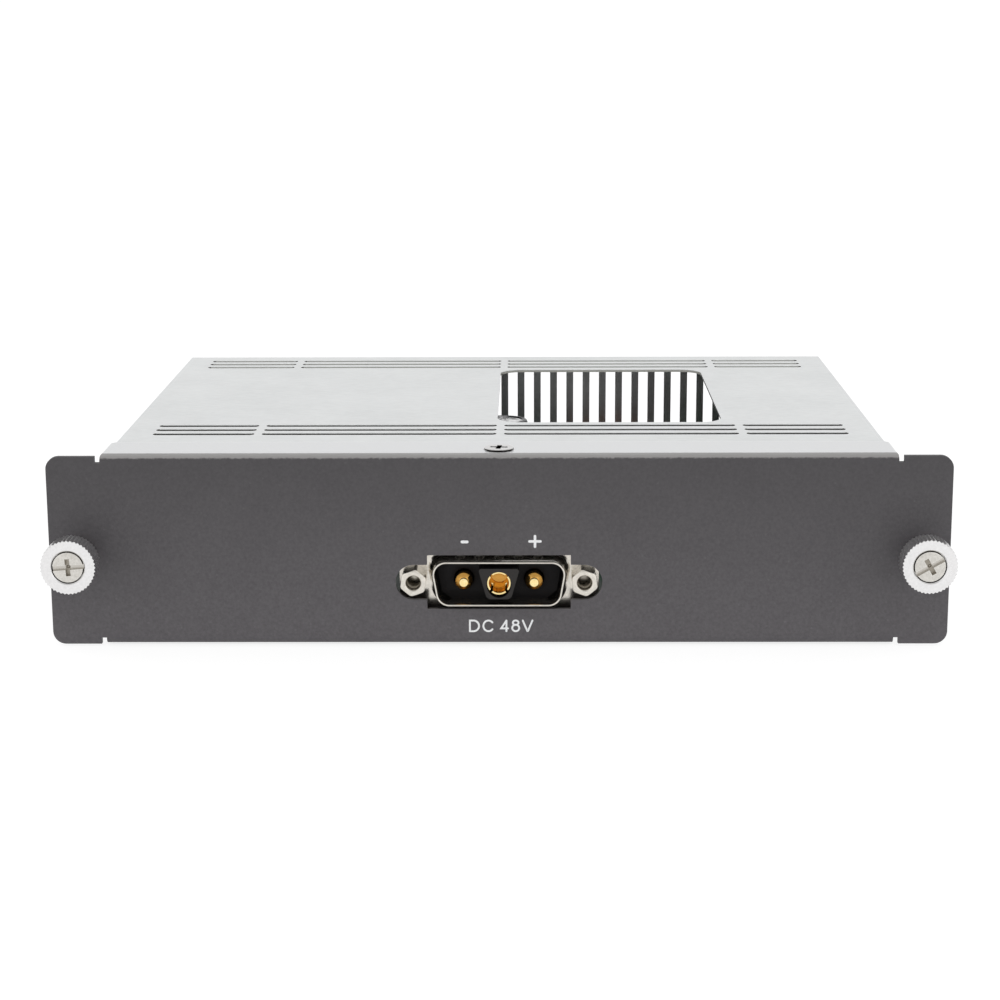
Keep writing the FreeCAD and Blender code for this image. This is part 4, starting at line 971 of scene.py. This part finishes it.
window = [size["Window Width"], size["Window Depth"], size["Window Corner"]]
window = rounded_frame(cover_tree, *window, 14)
lines = together(
    cover_tree,
    vents,
    shifted(cover_tree, whole, size["Cover Middle"]),
    shifted(cover_tree, window, size["Window Middle"]),
)
lines = {"Curve": made_real(cover_tree, lines)}
plate = first(cover_tree, "GeometryNodeFillCurve", lines, mode="TRIANGLES")
sheet, cut = thickened(cover_tree, plate, size["Sheet"])
close_tree(cover_tree, sheet, size["Material"], size["Edge Material"], cut)

cover_half, cover_front, cover_rear, cover_top = 77.2, -56.5, 67.0, 36.5
cover_sheet, side_sheet, fold = 0.6, 1.0, 0.35
top_sheet = grown(
    cover_tree,
    {
        "Width": 2 * (cover_half - side_sheet),
        "Depth": cover_rear - cover_front,
        "Sheet": cover_sheet,
        "Slot Width": 2.0,
        "Long Slot": 48.0,
        "Short Slot": 20.8,
        "Web": 1.5,
        "Rows": 3,
        "Row Pitch": 4.4,
        "Front Rows": -30.6,
        "Rear Rows": 51.9,
        "Window Width": 47.2,
        "Window Depth": 66.3,
        "Window Corner": 5.0,
        "Window Middle": (22.85, window_middle, 0),
        "Cover Middle": (0, (cover_front + cover_rear) / 2, 0),
        "Material": zinc,
        "Edge Material": cut_edge,
    },
)
top_sheet.transform(at(0, 0, cover_top - cover_sheet))
cover_inside = cover_half - side_sheet
profile = [(cover_half, 1.0), (cover_inside, 1.0), (cover_inside, cover_top)]
for k in range(9):
    a = pi / 2 * (1 - k / 8)
    across = cover_half - fold + fold * cos(a)
    profile.append((across, cover_top - fold + fold * sin(a)))
cover_parts = [top_sheet]
for sign in (1, -1):
    ends = [[(sign * x, y, z) for x, z in profile] for y in (cover_front, cover_rear)]
    cover_parts.append(skinned("cover_side", ends, capped=True))
    cover_parts[-1].materials.append(zinc)
assembled("slotted_cover", cover_parts, "top_cover")
low_profile = [(0, 0), (2.3, 0), (2.4, 0.2), (2.3, 0.6), (1.7, 1.1), (0, 1.3)]
low_pan = carve(lathe("low_pan", low_profile), *cross_recess(1.3, 0.5, 2.5, 0.8))
side_screw_height = 7.5
for name, sign, seed in (("right_side_screws", 1, 5), ("left_side_screws", -1, 8)):
    points = [(sign * cover_half, y, side_screw_height) for y in (-35.0, 5.0, 45.0)]
    screws(name, low_pan, points, (0, sign * pi / 2, 0), seed, screw_steel)


# Front panel: steel sheet folded into a face with two ears and two flanges. The face is painted
# dark grey with a fine leathery skin; the paint thins out over the folds to bare zinc.
panel_middle, flange_level, flange_end = 18.75, 17.3, 77.0
panel_paint = surface(
    "grey_paint", (83, 80, 83), (96, 93, 96), (0.46, 0.6), 1700.0, relief=0.5
)
tree = panel_paint.node_tree
shader = tree.nodes["Principled BSDF"].inputs
where = own_place(tree)
apart = node(tree, "ShaderNodeSeparateXYZ", {0: where}).outputs
flat = xyz(tree, X=apart["X"], Y=apart["Z"])
sources = {"Vector": flat, "Scale": 210.0, "Randomness": 1.0}
specks = node(tree, "ShaderNodeTexVoronoi", sources, voronoi_dimensions="2D").outputs
speck_mask = ramp(tree, specks["Distance"], 0.06, 0.02, Max=0.22)
some = maths(tree, "GREATER_THAN", specks["Color"], 0.56)
blend_colour(panel_paint, maths(tree, "MULTIPLY", speck_mask, some), (126, 124, 126))
# Painted shade: the paint is darker towards the top of the face.
shade_along(panel_paint, "Z", 4.0, 37.0, (54, 52, 54), 0.6)
thin = maths(tree, "MULTIPLY", worn_and_highlit_edge_mask(tree, 0.00018), 0.35)
blend_colour(panel_paint, thin, (128, 127, 128))
middle = maths(tree, "SUBTRACT", apart["Z"], panel_middle / 1000)
level = maths(tree, "GREATER_THAN", maths(tree, "ABSOLUTE", middle), flange_level / 1000)
between = maths(tree, "LESS_THAN", maths(tree, "ABSOLUTE", apart["X"]), flange_end / 1000)
flanged = maths(tree, "MULTIPLY", level, between)
upper = maths(tree, "GREATER_THAN", maths(tree, "MULTIPLY", flanged, middle), 0.0)
mist = first(tree, "ShaderNodeTexNoise", {"Vector": where, "Scale": 1500.0, "Detail": 1.0})
ragged = maths(tree, "MULTIPLY_ADD", mist, 0.0003, apart["Y"])
for start, end, over, side in (
    (-0.05764, -0.05741, (152, 150, 149), upper),
    (-0.05508, -0.05442, (224, 225, 226), flanged),
):
    bare = maths(tree, "MULTIPLY", ramp(tree, ragged, start, end), side)
    blend_colour(panel_paint, bare, over)
tree.links.new(bare, shader["Metallic"])
painted = shader["Roughness"].links[0].from_socket
tree.links.new(first(tree, "ShaderNodeMix", {0: bare, 2: painted, 3: 0.3}), shader["Roughness"])
# Painted highlight: a bright line along the edges of the bare flanges.
flange_edge_highlight = maths(tree, "MULTIPLY", bare, worn_and_highlit_edge_mask(tree, 0.0006))
blend_colour(panel_paint, flange_edge_highlight, (242, 243, 243))
dress("front_panel", panel_paint)


# Panel print: a minus and a plus sign over the inlet's two pins and the rated voltage below it,
# screen-printed in white ink on the paint.
panel_face = -58.0


def stroke(shape, points, width, lift, closed=False):
    """A flat line of even width with round ends, a little in front of the panel's face."""
    line = [Vector((x, z)) for x, z in points]
    count = len(line)
    ahead = panel_face - lift
    rows = ([], [])
    for k, here in enumerate(line):
        before = line[k - 1] if k or closed else here
        after = line[(k + 1) % count] if k < count - 1 or closed else here
        one = (here - before).normalized() if here != before else (after - here).normalized()
        two = (after - here).normalized() if after != here else one
        across = Vector((-(one + two).y, (one + two).x)).normalized()
        across *= width / 2 / max(0.5, across.dot(Vector((-one.y, one.x))))
        for row, side in zip(rows, (across, -across)):
            row.append(shape.verts.new((here.x + side.x, ahead, here.y + side.y)))
    for k in range(count if closed else count - 1):
        n = (k + 1) % count
        shape.faces.new([rows[0][k], rows[0][n], rows[1][n], rows[1][k]])
    if closed:
        return
    for tip, inner, left, right in (
        (line[0], line[1], rows[0][0], rows[1][0]),
        (line[-1], line[-2], rows[1][-1], rows[0][-1]),
    ):
        out = tip - inner
        start = atan2(out.y, out.x) - pi / 2
        turns = [start + pi * k / 8 for k in range(1, 8)]
        cap = [tip + Vector((cos(t), sin(t))) * width / 2 for t in turns]
        middle = [shape.verts.new((p.x, ahead, p.y)) for p in cap]
        shape.faces.new([left, *middle, right])


ink = surface("white_ink", (250, 252, 254), (254, 255, 255), (0.45, 0.6), 2600.0, relief=0.15)
shape = bmesh.new()
pen, sign_pen = 0.37, 0.5
low, high = 0.03, 0.034
letter_d = [(-5.715, 2.405), (-5.715, 4.575)] + arc(-5.02, 3.49, 1.085, 1.085, 90, -90, 20)
for points, width, lift, closed in (
    ([(-7.15, 20.41), (-6.15, 20.41)], 0.56, low, False),
    ([(5.96, 20.5), (8.08, 20.5)], sign_pen, low, False),
    ([(7.02, 19.44), (7.02, 21.56)], sign_pen, high, False),
    (letter_d, pen, low, True),
    (arc(-2.08, 3.49, 1.0, 1.085, 40, 320), pen, low, False),
    ([(1.4, 4.52), (0.4, 2.98), (1.74, 2.98)], pen, low, False),
    ([(1.43, 4.575), (1.43, 2.405)], pen, high, False),
    (arc(3.24, 4.13, 0.55, 0.45, 90, 450)[:-1], pen, low, True),
    (arc(3.24, 3.06, 0.68, 0.655, 90, 450)[:-1], pen, high, True),
    ([(4.63, 4.575), (5.5, 2.47), (5.64, 2.47), (6.515, 4.575)], pen, low, False),
):
    stroke(shape, points, width, lift, closed)
bmesh.ops.translate(shape, vec=(0, 0, 0.12), verts=shape.verts)
lifted = bmesh.ops.extrude_face_region(shape, geom=shape.faces[:], use_keep_orig=True)
moved = [v for v in lifted["geom"] if isinstance(v, bmesh.types.BMVert)]
bmesh.ops.translate(shape, vec=(0, 0.05, 0), verts=moved)
piece("panel_print", as_mesh(shape, "panel_print"), material=ink)


# Flange screws: one countersunk screw with a cross recess through each flange, of bright steel.
# They hold the panel to the cover and the tray.
sunk_steel = metal(
    "sunk_screw_steel", (200, 199, 198), (226, 225, 224), (0.18, 0.32), 2600.0, relief=0.08
)
tree = sunk_steel.node_tree
# Painted shade: the screw is painted dark from just below its head's rim downwards, where it sinks
# into the flange.
middle = maths(tree, "SUBTRACT", own_axes(tree)["Z"], panel_middle / 1000)
flank_painted_shade = ramp(tree, maths(tree, "ABSOLUTE", middle), 0.01904, 0.01897)
blend_colour(sunk_steel, flank_painted_shade, (38, 33, 31))
sunk_profile = [(0, -3.6), (1.4, -3.6), (1.5, -3.5), (1.5, -1.2), (2.5, -0.2), (2.6, 0.02)]
sunk_profile += [(2.86, 0.05), (2.9, 0.12), (2.9, 0.25), (2.8, 0.34), (1.9, 0.4), (0, 0.4)]
sunk = carve(lathe("sunk_screw", sunk_profile), *cross_recess(0.4, 0.95, 3.4, 1.3))
for name, height, lie, seed, stands_for in (
    ("upper_flange_screw", 2 * panel_middle, (0, 0, 0), 2, ("flange_screws",)),
    ("lower_flange_screw", 0, (pi, 0, 0), 4, ()),
):
    screws(name, sunk, [(0, -51.0, height)], lie, seed, sunk_steel, stands_for)


# Thumbscrews: on each ear a knurled aluminium ring, turned bright on its face, carries a slotted
# screw. A coil spring under the ring holds it out, and a clip behind the panel keeps it captive.
teeth, ear_hole, spring_foot = 44, 81.4, 58.3
knurl_tree, wants = maker_tree(
    "knurled_ring", Object=["Tooth"], Int=["Teeth"], Material=["Material"]
)
spots = row_of(knurl_tree, wants["Teeth"], (0, 0, 0))
number = first(knurl_tree, "GeometryNodeInputIndex")
share = maths(knurl_tree, "DIVIDE", number, wants["Teeth"])
about = xyz(knurl_tree, Z=maths(knurl_tree, "MULTIPLY", share, 2 * pi))
facing = first(knurl_tree, "FunctionNodeEulerToRotation", {0: about})
ring = copied(knurl_tree, spots, shape_of(knurl_tree, wants["Tooth"]), facing)
close_tree(knurl_tree, merged(knurl_tree, made_real(knurl_tree, ring)), wants["Material"])

spring_tree, wants = maker_tree(
    "coil_spring", Float=["Turns", "Radius", "Height", "Wire"], Material=["Material"]
)
sources = {"Resolution": 28, "Rotations": wants["Turns"], "Height": wants["Height"]}
sources.update({end + " Radius": wants["Radius"] for end in ("Start", "End")})
helix = first(spring_tree, "GeometryNodeCurveSpiral", sources)
wound = wire_along(spring_tree, helix, wants["Wire"], 10, capped=True)
close_tree(spring_tree, wound, wants["Material"])


def knurl_tooth():
    """One tooth's share of the ring: a wedge with a ridge, between two valleys."""
    rings = []
    valley, ridge, mouth, bore = 5.04, 5.26, 3.15, 1.96
    for share, outer in ((-0.5, valley), (0.0, ridge), (0.5, valley)):
        a = 2 * pi * share / teeth
        section = [(mouth + 0.2, 71.0), (outer - 0.06, 71.0), (outer, 70.94), (outer, 66.1)]
        section += [(outer - 0.1, 66.0), (bore, 66.0), (bore, 68.6), (mouth, 68.6), (mouth, 70.8)]
        rings.append([(r * cos(a), r * sin(a), z) for r, z in section])
    return skinned("tooth", rings)


def captive_screw(turn):
    """Screw with a domed, slotted head, plain stem, clip groove and threaded end."""
    profile = [(0, 70.9), (2.7, 70.9), (2.9, 70.84), (2.99, 70.65), (2.99, 68.6), (1.9, 68.6)]
    profile += [(1.9, 56.96), (1.24, 56.96), (1.24, 56.1), (1.5, 56.1)]
    thread = 56.0
    while thread > 50.6:
        profile += [(1.5, thread), (1.27, thread - 0.2), (1.5, thread - 0.4)]
        thread -= 0.45
    profile += [(1.3, 50.1), (1.15, 50.0), (0, 50.0)]
    turned = lathe("captive_screw", profile[::-1], 64)
    slot = block(-3.2, 3.2, -0.45, 0.45, 70.1, 72)
    cross = block(-0.45, 0.45, -1.65, 1.65, 69.9, 72)
    pit = lathe("pit", [(0, 69.4), (0.6, 70.3), (0.6, 72), (0, 72)], 16)
    made = carve(turned, slot, cross, pit)
    made.transform(Matrix.Rotation(radians(turn), 4, "Z"))
    return made


spring_steel = metal("spring_wire", (150, 150, 152), (184, 184, 186), (0.2, 0.34))
clip_steel = metal("clip_steel", (120, 121, 124), (150, 151, 154), (0.28, 0.42))
rub_and_highlight_edges(clip_steel, (190, 190, 192))
for place, sign, slot_turn in (("left", -1, 4.0), ("right", 1, 30.0)):
    across = ear_hole * sign
    lie = at(across, 0, panel_middle) @ to_front
    body = f"{place}_turn"
    bright = (223, 222, 222), (234, 233, 233), (0.24, 0.36)
    knob_metal = metal(f"{place}_knob_aluminium", *bright, 2200.0, relief=0.05)
    turn_marks(knob_metal, across, panel_middle, 0.00016, 0.25)
    sizes = {"Tooth": knurl_tooth(), "Teeth": teeth, "Material": knob_metal}
    knurled = smooth(grown(knurl_tree, sizes), 30)
    knurled.transform(lie)
    piece(f"{place}_knurled_ring", knurled, body, (f"{place}_knob",))

    dull = (196, 193, 187), (218, 215, 209), (0.22, 0.36)
    head_metal = metal(f"{place}_screw_steel", *dull, 2600.0, relief=0.08)
    rub_and_highlight_edges(head_metal, (236, 234, 230), 0.00012)
    turn_marks(head_metal, across, panel_middle, 0.0002, 0.3)
    # Painted shade: the head is painted darker down into its slot, and darker still in its cross
    # recess.
    shade_along(head_metal, "Y", -70.8, -70.6, (196, 192, 185))
    shade_along(head_metal, "Y", -70.06, -69.92, (150, 144, 134))
    screw = captive_screw(slot_turn)
    screw.transform(lie)
    stands_for = (f"{place}_captive_screw",)
    piece(f"{place}_slotted_screw", screw, body, stands_for, head_metal)

    sizes = {"Turns": 5.0, "Radius": 2.8, "Height": 7.4, "Wire": 0.28, "Material": spring_steel}
    coil = grown(spring_tree, sizes)
    coil.transform(lie @ at(0, 0, spring_foot))
    held = piece(f"{place}_coil_spring", coil, stands_for=(f"{place}_spring",))
    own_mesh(held)
    dress(f"{place}_clip", clip_steel)


# Studio: a plain pale floor that keeps a soft shadow, white surroundings with a dimmer zenith,
# and two soft lamps low at the left and right front.
reach, floor_height = 20.0, -0.00045
floor_corners = [(-reach, -reach), (reach, -reach), (reach, reach), (-reach, reach)]
floor_mesh = bpy.data.meshes.new("floor")
floor_mesh.from_pydata([(x, y, floor_height) for x, y in floor_corners], [], [(0, 1, 2, 3)])
floor = placed("floor", floor_mesh)
floor_white = bpy.data.materials.new("floor_white")
floor_white.use_nodes = True
tree = floor_white.node_tree
tree.nodes.remove(tree.nodes["Principled BSDF"])
ray = node(tree, "ShaderNodeLightPath").outputs
matt = first(tree, "ShaderNodeBsdfDiffuse", {"Color": (0.8, 0.8, 0.8, 1)})
shadowed = first(tree, "ShaderNodeBsdfDiffuse", {"Color": (0.34, 0.34, 0.34, 1)})
glow = first(tree, "ShaderNodeEmission", {"Color": (1, 1, 1, 1), "Strength": 0.8})
seen = first(tree, "ShaderNodeAddShader", {0: shadowed, 1: glow})
mirror = ray["Is Camera Ray"]
for kind in ("Is Glossy Ray", "Is Transmission Ray"):
    mirror = maths(tree, "MAXIMUM", mirror, ray[kind])
floor_mix = first(tree, "ShaderNodeMixShader", {0: mirror, 1: matt, 2: seen})
tree.links.new(floor_mix, tree.nodes["Material Output"].inputs["Surface"])
floor.data.materials.append(floor_white)

world = bpy.data.worlds.new("studio")
scene.world = world
world.use_nodes = True
tree = world.node_tree
way = node(tree, "ShaderNodeTexCoord").outputs["Generated"]
up = node(tree, "ShaderNodeSeparateXYZ", {0: way}).outputs["Z"]
dim = ramp(tree, up, 0.4, 0.95, Min=0.95, Max=0.6)
seen = node(tree, "ShaderNodeLightPath").outputs["Is Camera Ray"]
sky = tree.nodes["Background"].inputs
sky["Color"].default_value = (1, 1, 1, 1)
tree.links.new(first(tree, "ShaderNodeMix", {0: seen, 2: dim, 3: 1.0}), sky["Strength"])

for name, x, power in (("left_lamp", -0.55, 0.5), ("right_lamp", 0.55, 0.72)):
    lamp = bpy.data.lights.new(name, "AREA")
    lamp.energy = power
    lamp.size = 0.9
    held = placed(name, lamp)
    held.location = (x, -0.5, 0.35)
    aim = Vector((0, -0.03, 0.02)) - held.location
    held.rotation_euler = aim.to_track_quat("-Z", "Y").to_euler()


# Camera: at the photograph's distance, height and turn, fitted to the corners of the panel, the
# cover and the inlet.
camera = bpy.data.cameras.new("camera")
camera.sensor_width = 36.0
camera.lens = 81.77
camera.clip_start = 0.01
camera.clip_end = 100.0
viewer = placed("camera", camera)
pitch, yaw, roll = (radians(a) for a in (12.828, -0.721, 0.224))
level = cos(pitch)
ahead = Vector((sin(yaw) * level, cos(yaw) * level, -sin(pitch)))
aside = Vector((cos(yaw), -sin(yaw), 0))
below = ahead.cross(aside)
right = cos(roll) * aside + sin(roll) * below
down = -sin(roll) * aside + cos(roll) * below
pose = Matrix((right, -down, -ahead)).transposed().to_4x4()
pose.translation = Vector((0.00565, -0.48576, 0.12627))
viewer.matrix_world = pose
scene.camera = viewer
